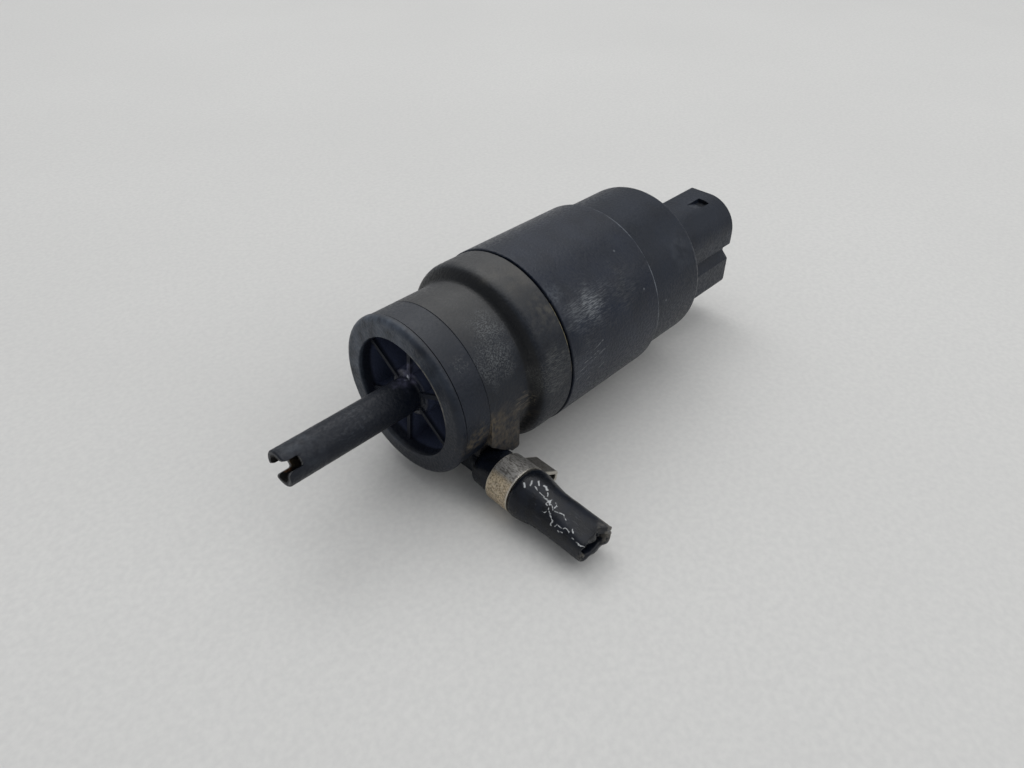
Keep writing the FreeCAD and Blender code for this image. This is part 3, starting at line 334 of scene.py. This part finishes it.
def housing_marks(place):
    """Grey dust in two patches, brown dirt down the outlet's column and the shoulder, a brushed patch on the ring,
    and painted shade in the corner under the ring.
    """
    # Painted shade darkens the corner under the ring
    ring_hollow_shade = together(ring_line(place, 20.4, 0.7, 1.6), 0.8)
    dusty = together(either(near(place, (15.4, -10.3, 14.9), 0.5, 5.5), near(place, (13.2, -14.8, 10.5), 0.5, 7)),
                     speckle(place, 0.32, 0.42, 0.62), 0.34)
    column = together(near(place, (12.8, -18.4, -7.5), 4, 10), speckle(place, 1.1, 0.32, 0.68), 0.55)
    low_dirt = together(near(place, (8.6, -18, -3), 0.8, 5.5), speckle(place, 1.0, 0.4, 0.62), 0.65)
    corner = together(near(place, (18, -17.9, -1.5), 1, 4), scratches(place, 0.3, 2.0, (0, 60, 0), 0.45, 0.62), 0.5)
    smudge = together(near(place, (28, -5, 20.5), 2, 8), speckle(place, 2.5), 0.3)
    seam_dirt = together(near(place, (28.0, -14.5, 15.3), 1, 6), speckle(place, 1.6, 0.4), 0.26)
    seam_edge = together(ring_line(place, 29.95, 0.05, 0.35), near(place, (30, -18, 9), 5, 10),
                         speckle(place, 1.4, 0.4, 0.55), 0.7)
    hatch = either(scratches(place, 0.16, 1.3, (0, 70, 0), 0.48, 0.66),
                   scratches(place, 0.16, 1.3, (0, 20, 0), 0.52, 0.7))
    brushed = together(near(place, (25.0, -20.6, 4.5), 2.5, 7.5), hatch, 0.36)
    return [(ring_hollow_shade, "#08090b", 0.0), (dusty, "#8a8d8e", 0.005), (column, "#62594c", 0.01),
            (low_dirt, "#6c614f", 0.01), (corner, "#6f6759", 0.0), (smudge, "#67625a", 0.0),
            (seam_dirt, "#7b7669", 0.005), (seam_edge, "#9a9070", 0.0), (brushed, "#767774", 0.0)]


# Scores in the sleeve's near side, as points of its surface
SLEEVE_SCORES = [
    [(31.6, -21.4, 0.3), (36.5, -21.4, 1.4), (41.9, -21.3, 2.4)],
    [(32.9, -21.4, 1.7), (39.1, -21.3, 2.9)],
    [(35.0, -21.2, -3.4), (40.8, -21.4, -1.5)],
    [(31.2, -21.4, -1.2), (34.6, -21.45, -0.4)],
    [(37.0, -21.2, 3.6), (40.4, -20.9, 4.6)]]


def sleeve_marks(place):
    """Cross-hatched rubbing on the upper near side, fine scores below it, and a worn rear edge."""
    hatch = either(scratches(place, 0.22, 1.8, (0, 0, 25), 0.5, 0.64),
                   scratches(place, 0.22, 1.6, (0, 30, -30), 0.52, 0.66))
    wider = together(near(place, (40, -18, 11.5), 2, 8.5), hatch, 0.3)
    core = either(near(place, (39.4, -17.4, 12.8), 0.5, 4.8),
                  together(near(place, (34.6, -18, 11.8), 0.5, 4.5), 0.55))
    patch = together(core, valued(0.2, 1.0, hatch), 0.44)
    rear_patch = together(near(place, (51.5, -17.7, 12.1), 0.5, 7), valued(0.1, 1.0, hatch), 0.17)
    front_patch = together(near(place, (31.5, -13.5, 16.6), 0.5, 4), speckle(place, 0.6, 0.35, 0.65), 0.3)
    scored = together(strokes(place, 0.11, 0.35, SLEEVE_SCORES), speckle(place, 0.8, 0.38, 0.6), 0.5)
    low_hatch = either(scratches(place, 0.2, 4.0, (0, -14, 0), 0.52, 0.68),
                       scratches(place, 0.18, 1.2, (0, 60, 0), 0.52, 0.7))
    fine = together(near(place, (34.5, -21.2, 1), 2, 8), low_hatch, 0.34)
    nicks = together(either(near(place, (53.8, -12.0, 17.7), 0.05, 0.4),
                            near(place, (56.8, -19.2, 9.6), 0.05, 0.4)), 0.6)
    # Only the edge itself is worn, not the end face inside it
    outermost = valued(1.0, 0.0, within(place, 21.1, 21.35))
    rear_edge = together(ring_line(place, 61.1, 0.1, 0.4), outermost, speckle(place, 4.0, 0.35, 0.6), 0.8)
    return [(wider, "#74777b", 0.0), (patch, "#9b9fa2", 0.0), (rear_patch, "#7c7d7c", 0.0),
            (front_patch, "#6f757c", 0.0), (scored, "#8b8e90", 0.0), (fine, "#6b6e72", 0.0),
            (nicks, "#7d8186", 0.0), (rear_edge, "#858b93", 0.0)]


def cap_marks(place):
    """A rubbed streak on the cap, a nick, painted shade on its rear edge and in the latch recess, a lighter patch
    before the recess, and a worn end.
    """
    # Painted shade on the rear edge: it is coloured dark and made rougher, which dims its highlight
    rim = together(ring_line(place, 80.3, 0.3, 0.8), 0.7)
    streak = together(near(place, (75, -16.5, 11.5), 0.8, 6.5), speckle(place, 3.0), 0.16)
    nick = together(near(place, (65.7, -20.0, 2.9), 0.05, 0.4), 0.6)
    # A lighter patch just before the recess
    ramp = together(near(place, (97.0, -5.4, 11.8), 0.8, 2.6), speckle(place, 0.7, 0.35, 0.65), 0.3)
    # Painted shade in the latch recess
    recess = together(near(place, (100.4, -5.8, 11.2), 1.0, 1.7), 0.7)
    end = together(ring_line(place, 106, 0.1, 0.4), speckle(place, 1.5, 0.4), 0.3)
    return [(rim, "#0a0e15", 0.003), (streak, "#6d7279", 0.0), (nick, "#7d8186", 0.0), (ramp, "#6b6e72", 0.0),
            (recess, "#08090b", 0.0), (end, "#6b7076", 0.0)]


# The hose and its clamp, whose patterns follow the outlet's axis

def along_hose(place, lean=0.0):
    """Coordinates along, across and up from the hose, leaned by some degrees about its length."""
    return add(place, "ShaderNodeMapping", {
        "Vector": place, "Location": OUTLET_PLACE, "Rotation": (math.radians(lean), 0, OUTLET_TURN)},
        vector_type="TEXTURE").outputs["Vector"]


# Cracks and flakes in the hose's upper side, by their distance along it and across it
HOSE_CRACKS = [
    [(12.1, 2.1), (13.0, 1.8), (14.6, 1.5), (15.8, 1.2), (16.8, 0.9),
     (17.4, 0.9), (18.3, 0.5), (19.6, 0.5), (20.3, 0.8), (21.4, 0.5)],
    [(16.5, 1.8), (16.2, 0.6), (17.2, 0.0), (18.3, -0.7), (19.4, -1.2), (19.6, -2.2)],
    [(16.3, -1.1), (17.0, -1.0), (17.3, -0.4)],
    [(18.3, 0.5), (18.2, 1.5)],
    [(20.3, -1.9), (21.1, -1.3), (22.0, -1.5), (22.9, -0.9), (23.7, -1.2)],
    [(24.8, -1.6), (25.5, -1.9), (26.6, -1.9), (27.8, -1.7)],
    [(14.7, 2.4), (15.4, 1.9)],
    [(17.6, 1.9), (18.4, 1.5)],
    [(21.6, -2.4), (22.4, -2.1)],
    [(24.0, -0.3), (24.5, -0.8)]]
HOSE_FLAKES = [
    [(9.9, 1.3), (10.5, 0.7)],
    [(10.7, 2.6), (11.3, 1.7)],
    [(11.8, 3.3), (12.3, 2.8)],
    [(13.1, 3.3), (14.3, 2.9)],
    [(16.4, 1.4), (16.9, 0.8)]]


def hose_rubber():
    """Extruded EPDM rubber, half glossy and black, with a chain of white cracks along the side that was bent over."""
    material, shader, place = new_finish("hose_rubber")
    # The cracked side lies 35 degrees round from the top
    along = along_hose(place, lean=35)
    flat = add(along, "ShaderNodeVectorMath", {0: along, 1: (1, 1, 0)}, operation="MULTIPLY").outputs["Vector"]
    upper = past(along, "Z", 0.0, 1.5)
    chain = together(strokes(flat, 0.12, 1.1, HOSE_CRACKS), speckle(flat, 0.7, 0.25, 0.45))
    flakes = strokes(flat, 0.17, 0.7, HOSE_FLAKES)
    scuff = together(either(chain, flakes), upper, 0.9)
    faint = together(either(near(along, (16, 0.5, 5), 1, 5), near(along, (23, 0.5, 4), 1, 4)),
                     scratches(along, 0.25, 1.6, (0, 0, 25), 0.56, 0.68), 0.22)
    raw = either(near(along, (27.3, 4.0, -1.5), 1.0, 3.6), near(along, (27.4, -3.4, 1.6), 0.2, 1.2))
    torn = together(raw, speckle(along, 0.8, 0.36, 0.58), 0.6)
    dulled = speckle(along, 2.6, 0.4)
    drawn = scratches(along, 0.4, 6.0, low=0.5, high=0.8)
    fill(shader, {"Base Color": coloured("#0b0e14", "#131823", dulled, [
                      (faint, "#6c6e70"), (scuff, "#c4c6c7"), (torn, "#827d74")]),
                  "Roughness": valued(0.24, 0.38, dulled, [(scuff, 0.7), (torn, 0.8)]),
                  "IOR": 1.5, "Specular IOR Level": 0.27})
    raised(shader, [(drawn, 0.012), (dulled, 0.03), (scuff, 0.03), (torn, 0.05)])
    return material


def galvanised_strip():
    """Galvanised strip steel, tarnished: grey with short dark lines above, pale gold with brown specks at the side.

    The ear has gone darker than the band, and the band's two edges are bright.
    """
    material, shader, place = new_finish("galvanised_strip")
    along = along_hose(place)
    lines = scratches(along, 0.22, 0.8, low=0.48, high=0.6)
    specks = speckle(along, 0.4, 0.46, 0.6)
    side = past(along, "Y", -3.0, -3.9)
    gold = together(side, valued(0.65, 1.0, speckle(along, 1.5, 0.35, 0.65)))
    dark_lines = together(lines, valued(1.0, 0.25, side), 0.75)
    brown_specks = together(specks, side, 0.6)
    ear = together(valued(1.0, 0.0, within(along, 5.7, 6.3)), 0.6)
    edge = either(ring_line(along, 8.05, 0.15, 0.4), together(ring_line(along, 1.95, 0.05, 0.2), 0.6))
    fill(shader, {"Base Color": coloured("#989693", "#aba9a5", speckle(along, 2.0, 0.35, 0.65), [
                      (gold, "#dccbae"), (dark_lines, "#4f4b47"), (brown_specks, "#6d5b46"),
                      (ear, "#57534e"), (together(edge, 0.75), "#d9d4c8")]),
                  "Roughness": valued(0.42, 0.55, lines, [(specks, 0.65), (edge, 0.3)]), "Metallic": 0.85})
    raised(shader, [(lines, -0.015), (specks, -0.015)])
    return material


# The pieces inside the pump. Where a real grain or line is finer than 0.1 mm, it is drawn coarser so that it shows.

def natural_acetal():
    """Natural acetal, moulded: off-white, waxy, with a dull gloss."""
    material, shader, place = new_finish("natural_acetal")
    cloud = speckle(place, 3.0)
    fill(shader, {"Base Color": coloured("#ddd9cc", "#e6e3d8", cloud), "Roughness": valued(0.32, 0.42, cloud),
                  "IOR": 1.48, "Subsurface Weight": 0.15, "Subsurface Scale": 0.002})
    raised(shader, [(speckle(place, 0.6), 0.006)])
    return material


def end_plate_nylon():
    """Filled nylon of the motor's end plate, moulded: grey-green and dull, with a fine grain."""
    material, shader, place = new_finish("end_plate_nylon")
    cloud = speckle(place, 2.0)
    fill(shader, {"Base Color": coloured("#6b7068", "#7b8077", cloud), "Roughness": valued(0.5, 0.6, cloud),
                  "IOR": 1.53})
    raised(shader, [(speckle(place, 0.5), 0.01)])
    return material


def vulcanised_fibre():
    """Vulcanised fibre, stamped from sheet: reddish brown, dull, faintly layered."""
    material, shader, place = new_finish("vulcanised_fibre")
    sheets = scratches(place, 0.15, 3.0, (0, 0, 90))
    fill(shader, {"Base Color": coloured("#6e3a26", "#8a4c33", sheets), "Roughness": 0.7, "IOR": 1.5})
    raised(shader, [(sheets, 0.008)])
    return material


def sealing_rubber():
    """Nitrile rubber, press moulded: dense black with a faint oily gloss."""
    material, shader, place = new_finish("sealing_rubber")
    cloud = speckle(place, 1.5)
    fill(shader, {"Base Color": coloured("#141415", "#1c1c1e", cloud), "Roughness": valued(0.38, 0.5, cloud),
                  "IOR": 1.5})
    raised(shader, [(speckle(place, 0.4), 0.006)])
    return material


def drawn_steel():
    """Zinc-plated deep-drawn steel: cool grey, half bright, with faint draw lines along the can."""
    material, shader, place = new_finish("drawn_steel")
    lines = scratches(place, 0.3, 12.0)
    fill(shader, {"Base Color": coloured("#b3b6ba", "#a2a5aa", lines), "Roughness": valued(0.3, 0.42, lines),
                  "Metallic": 1.0})
    raised(shader, [(lines, 0.004)])
    return material


def ground_steel():
    """Ground and hardened shaft steel: bright, with fine rings left by the wheel."""
    material, shader, place = new_finish("ground_steel")
    rings = scratches(place, 8.0, 0.12)
    fill(shader, {"Base Color": coloured("#c4c6c8", "#b2b5b8", rings), "Roughness": valued(0.16, 0.26, rings),
                  "Metallic": 1.0})
    raised(shader, [(rings, 0.002)])
    return material


def stacked_laminations():
    """Stamped electrical steel sheets in a stack: dark blue-grey with brown tarnish, a line at each 0.5 mm sheet."""
    material, shader, place = new_finish("stacked_laminations")
    sheets = add(place, "ShaderNodeTexWave", {"Vector": place, "Scale": WAVE_PERIOD / (0.5 * MM)},
                 wave_type="BANDS", bands_direction="X").outputs["Fac"]
    cloud = speckle(place, 2.0, 0.35, 0.65)
    tarnish = together(cloud, 0.3)
    fill(shader, {"Base Color": coloured("#4c4f55", "#6b6f76", sheets, [(tarnish, "#5b4d42")]),
                  "Roughness": valued(0.45, 0.6, cloud), "Metallic": 0.85})
    raised(shader, [(sheets, 0.02)])
    return material


def sintered_bronze():
    """Oil-filled sintered bronze: warm brown, porous and half matt."""
    material, shader, place = new_finish("sintered_bronze")
    pores = speckle(place, 0.35, 0.55, 0.68)
    fill(shader, {"Base Color": coloured("#a57c4c", "#6f5030", pores), "Roughness": valued(0.42, 0.65, pores),
                  "Metallic": 1.0})
    raised(shader, [(pores, -0.02)])
    return material


def rolled_spring_bronze():
    """Rolled spring bronze strip, stamped: yellow, smooth, with lines along its rolling."""
    material, shader, place = new_finish("rolled_spring_bronze")
    lines = scratches(place, 0.12, 5.0)
    fill(shader, {"Base Color": coloured("#c9a45c", "#b8924c", lines), "Roughness": valued(0.24, 0.36, lines),
                  "Metallic": 1.0})
    raised(shader, [(lines, 0.003)])
    return material


def tinned_brass():
    """Tin-plated stamped brass: soft silver grey, rubbed along the way that the plug slides."""
    material, shader, place = new_finish("tinned_brass")
    rubs = scratches(place, 0.15, 4.0, low=0.45)
    fill(shader, {"Base Color": coloured("#c7c5bf", "#a9a498", rubs), "Roughness": valued(0.28, 0.42, rubs),
                  "Metallic": 1.0})
    raised(shader, [(rubs, -0.004)])
    return material


def enamelled_copper():
    """Enamelled copper wire, wound: red-brown and glossy, with a ridge at each 0.5 mm turn."""
    material, shader, place = new_finish("enamelled_copper")
    turns = add(place, "ShaderNodeTexWave", {
        "Vector": place, "Scale": WAVE_PERIOD / (0.5 * MM), "Distortion": 0.8},
        wave_type="BANDS", bands_direction="DIAGONAL").outputs["Fac"]
    fill(shader, {"Base Color": coloured("#6f2f18", "#b0613a", turns), "Roughness": 0.28, "Metallic": 0.8,
                  "Coat Weight": 0.6, "Coat Roughness": 0.12})
    raised(shader, [(turns, 0.05)])
    return material


def commutator_copper():
    """Drawn commutator copper, darkened by the brushes in rings."""
    material, shader, place = new_finish("commutator_copper")
    rings = scratches(place, 9.0, 0.2)
    fill(shader, {"Base Color": coloured("#a8603c", "#744028", rings), "Roughness": valued(0.25, 0.4, rings),
                  "Metallic": 1.0})
    raised(shader, [(rings, 0.004)])
    return material


def sintered_ferrite():
    """Sintered ferrite, pressed and ground: charcoal grey, stony, with small chips."""
    material, shader, place = new_finish("sintered_ferrite")
    chips = speckle(place, 0.8, 0.6)
    fill(shader, {"Base Color": coloured("#35353a", "#4a4a50", chips), "Roughness": valued(0.55, 0.75, chips),
                  "Metallic": 0.25})
    raised(shader, [(chips, -0.03), (speckle(place, 0.3), 0.01)])
    return material


def brush_carbon():
    """Pressed copper-graphite: soft dark grey with metal specks."""
    material, shader, place = new_finish("brush_carbon")
    specks = speckle(place, 0.25, 0.58, 0.68)
    fill(shader, {"Base Color": coloured("#2b2b2c", "#7b5a44", specks), "Roughness": valued(0.5, 0.35, specks),
                  "Metallic": 0.4})
    raised(shader, [(specks, 0.004)])
    return material


# The hose's wall as rings, from the inside of its mouth over the outside to the cut end, and back up the bore.
# Each ring is its distance along the hose, half width, half height and squareness, where 2 is round.
HOSE_OUTSIDE = [
    (-3.4, 4.4, 4.4, 2), (-3.38, 4.7, 4.7, 2), (-3.1, 4.88, 4.88, 2), (-1.2, 4.95, 4.95, 2),
    (0.6, 4.97, 4.97, 2), (1.6, 4.94, 4.94, 2), (4.0, 4.94, 4.94, 2), (8.05, 4.94, 4.94, 2),
    (8.2, 5.2, 5.2, 2), (8.45, 5.55, 5.5, 2), (9.2, 5.68, 5.6, 2), (10.4, 5.62, 5.55, 2),
    (11.8, 5.4, 5.35, 2), (13.2, 5.1, 5.05, 2), (14.6, 4.85, 4.8, 2), (16.0, 4.68, 4.6, 2.05),
    (18.0, 4.58, 4.4, 2.2), (20.0, 4.55, 4.1, 2.4), (22.0, 4.52, 3.8, 2.6), (24.0, 4.5, 3.5, 2.9),
    (26.0, 4.5, 3.2, 3.3), (27.4, 4.5, 3.0, 3.6), (27.9, 4.45, 2.95, 3.6), (28.05, 4.25, 2.75, 3.4)]
HOSE_INSIDE = [
    (28.0, 3.5, 1.45, 2.8), (27.5, 3.25, 1.2, 2.6), (26.0, 3.0, 1.4, 2.2), (23.0, 2.95, 2.1, 2),
    (19.0, 2.95, 2.9, 2), (16.0, 2.95, 2.95, 2), (10.7, 3.45, 3.45, 2), (0.0, 3.45, 3.45, 2),
    (-3.35, 3.5, 3.5, 2)]

# Where torn scraps hang on the cut end, and how large they are
HOSE_CRUMBS = [
    ((27.4, 4.3, 1.0), 0.5), ((27.4, 4.55, -0.4), 0.42), ((27.1, 4.5, -1.5), 0.5), ((26.8, 4.2, -2.5), 0.4),
    ((27.4, 3.2, 1.6), 0.4), ((27.3, -2.6, -1.9), 0.45), ((27.4, -3.7, -0.6), 0.5), ((27.3, 0.8, 1.7), 0.35)]

# How many waves of the knife's cut and of the wall's bulges there are in a metre
KNIFE_WAVES = 420
WALL_WAVES = 330


def ring_to(verts, layer, station):
    """Moves a ring of the hose to its station."""
    x, half_width, half_height, square = station
    power = 2 / square
    for vert in verts:
        across, up = math.cos(vert[layer]), math.sin(vert[layer])
        vert.co = (x * MM, math.copysign(abs(across) ** power, across) * half_width * MM,
                   math.copysign(abs(up) ** power, up) * half_height * MM)


def hose_shell(stations, segments):
    """A closed wall drawn through rings, the last of which is joined to the first."""
    shell = bmesh.new()
    bmesh.ops.create_circle(shell, segments=segments, radius=1.0)
    # Each vertex keeps its angle round the hose, which its extruded copies take over
    layer = shell.verts.layers.float.new("angle")
    for vert in shell.verts:
        vert[layer] = math.atan2(vert.co.y, vert.co.x)
    ring_to(shell.verts, layer, stations[0])
    first = last = shell.edges[:]
    for station in stations[1:]:
        grown = bmesh.ops.extrude_edge_only(shell, edges=last)["geom"]
        ring_to([made for made in grown if isinstance(made, bmesh.types.BMVert)], layer, station)
        # The edges between the new ring and the one before it run along the hose, and the ring's own don't
        last = [made for made in grown if isinstance(made, bmesh.types.BMEdge)
                and abs(made.verts[0].co.x - made.verts[1].co.x) < 1e-9]
    bmesh.ops.bridge_loops(shell, edges=first + last)
    bmesh.ops.recalc_face_normals(shell, faces=shell.faces[:])
    return shell


def crumb(shell, place, size):
    """A torn scrap of rubber that hangs on the cut end: a ball whose radius varies by up to half."""
    for vert in bmesh.ops.create_icosphere(shell, subdivisions=2, radius=1.0)["verts"]:
        rough = 1 + 0.5 * noise.noise(vert.co * 1.7 + Vector(place))
        vert.co = (Vector(place) + Vector(vert.co) * rough * size) * MM


def as_piece(shell, name, material, place=Matrix.Identity(4)):
    """Turns a bmesh into a smooth piece at the frame's origin, with its place in its mesh."""
    bmesh.ops.transform(shell, matrix=place, verts=shell.verts[:])
    for face in shell.faces:
        face.smooth = True
    mesh = bpy.data.meshes.new(name)
    shell.to_mesh(mesh)
    shell.free()
    mesh.materials.append(material)
    piece = bpy.data.objects.new(name, mesh)
    bpy.context.scene.collection.objects.link(piece)
    return piece


def cut_hose(material):
    """The cut-off hose: a flared mouth, the pinch under the clamp, the bulge behind it and a squashed ragged end."""
    shell = hose_shell(HOSE_OUTSIDE + HOSE_INSIDE, segments=96)
    bulging_from, ragged_from, end = 9.0 * MM, 26.5 * MM, 28.05 * MM
    for vert in shell.verts:
        # The knife left the end wavy
        if vert.co.x > ragged_from:
            wave = noise.noise(Vector((vert.co.y, vert.co.z, 0)) * KNIFE_WAVES)
            vert.co.x -= max(0.0, 0.4 + 1.1 * wave) * MM * (vert.co.x - ragged_from) / (end - ragged_from)
        # The wall bulges unevenly where it was squashed
        if vert.co.x > bulging_from:
            swell = noise.noise(vert.co * WALL_WAVES)
            vert.co.y *= 1 + 0.02 * swell
            vert.co.z *= 1 + 0.03 * swell
    for place, size in HOSE_CRUMBS:
        crumb(shell, place, size)
    return as_piece(shell, "cut_hose", material, OUTLET)


def pale_laminate():
    """High-pressure laminate, pale: nearly white and matt, with faint clouds and fine pores."""
    material, shader, place = new_finish("pale_laminate")
    cloud = speckle(place, 120.0)
    # The real pores are about 0.3 mm; they are drawn at 1.3 mm so that they show
    pores = together(speckle(place, 1.3), 0.5)
    fill(shader, {"Base Color": coloured("#d7d6d3", "#dbdad7", cloud, [(pores, "#cbcac8")]),
                  "Roughness": 0.75, "IOR": 1.45})
    return material


def table_top():
    """The flat top that the pump lies on, 6 m across so that it fills the view."""
    floor = bmesh.new()
    bmesh.ops.create_grid(floor, x_segments=1, y_segments=1, size=3.0)
    bmesh.ops.translate(floor, verts=floor.verts[:], vec=(0, 0, FLOOR_Z))
    as_piece(floor, "table", pale_laminate())


def soft_box(name, place, size, power):
    """A square white studio lamp."""
    lamp = bpy.data.lights.new(name, "AREA")
    lamp.shape = "SQUARE"
    lamp.size = size
    lamp.energy = power
    piece = bpy.data.objects.new(name, lamp)
    piece.location = place
    piece.rotation_euler = (LAMP_AIM - Vector(place)).to_track_quat("-Z", "Y").to_euler()
    bpy.context.scene.collection.objects.link(piece)


def studio():
    """Three soft boxes, overhead, behind and at the right, in an even pale room."""
    world = bpy.data.worlds.new("pale_room")
    bpy.context.scene.world = world
    world.use_nodes = True
    fill(world.node_tree.nodes["Background"], {"Color": linear("#f4f7fb"), "Strength": 0.42})
    soft_box("overhead_box", (0.3, 0.3, 1.3), size=1.4, power=7.3)
    soft_box("rear_box", (0.3, 0.75, 0.95), size=0.7, power=2.1)
    soft_box("right_box", (0.5, -0.75, 0.8), size=1.0, power=3.7)


def camera():
    """The photograph's camera, above and in front of the inlet pipe."""
    lens = bpy.data.cameras.new("camera")
    lens.lens = 27.0
    lens.sensor_width = 36.0
    lens.clip_start = 0.01
    piece = bpy.data.objects.new("camera", lens)
    piece.location = (-0.07233, -0.10217, 0.10135)
    piece.rotation_euler = (math.radians(51.57), 0, math.radians(-45.97))
    bpy.context.scene.collection.objects.link(piece)
    bpy.context.scene.camera = piece


camera()
studio()
table_top()

dress("inlet_cover", glass_filled_nylon("cup_nylon", "#0b111c", "#121926", inlet_marks, dust=0.2))
dress("pump_housing", glass_filled_nylon("housing_nylon", "#0d1119", "#141922", housing_marks, dust=0.3,
                                         dust_and_top_light_code="#82807b"))
dress("motor_sleeve", glass_filled_nylon("sleeve_nylon", "#0b1220", "#131c2d", sleeve_marks, dust=0.08,
                                         roughness=(0.28, 0.48)))
dress("connector_cap", glass_filled_nylon("cap_nylon", "#0c131f", "#151d2b", cap_marks, dust=0.03))

for finish, names in (
        (sealing_rubber, ("cover_o_ring", "body_o_ring", "shaft_seal", "motor_dampers")),
        (galvanised_strip, ("hose_clamp",)),
        (drawn_steel, ("seal_retainer", "motor_can", "magnet_clips")),
        (natural_acetal, ("impeller",)),
        (end_plate_nylon, ("end_bell",)),
        (ground_steel, ("motor_shaft",)),
        (stacked_laminations, ("armature_core",)),
        (sintered_bronze, ("front_bearing", "rear_bearing")),
        (rolled_spring_bronze, ("brush_arms",)),
        (tinned_brass, ("lead_straps", "contact_blades")),
        (commutator_copper, ("commutator",)),
        (enamelled_copper, ("armature_windings",)),
        (sintered_ferrite, ("magnets",)),
        (brush_carbon, ("brushes",)),
        (vulcanised_fibre, ("thrust_washers",))):
    for name in names:
        dress(name, finish())

hose_black = hose_rubber()
dress("hose_stub", hose_black)
hose = cut_hose(hose_black)
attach(hose, "housing")
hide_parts("hose_stub")

bpy.context.scene.view_settings.view_transform = "Standard"
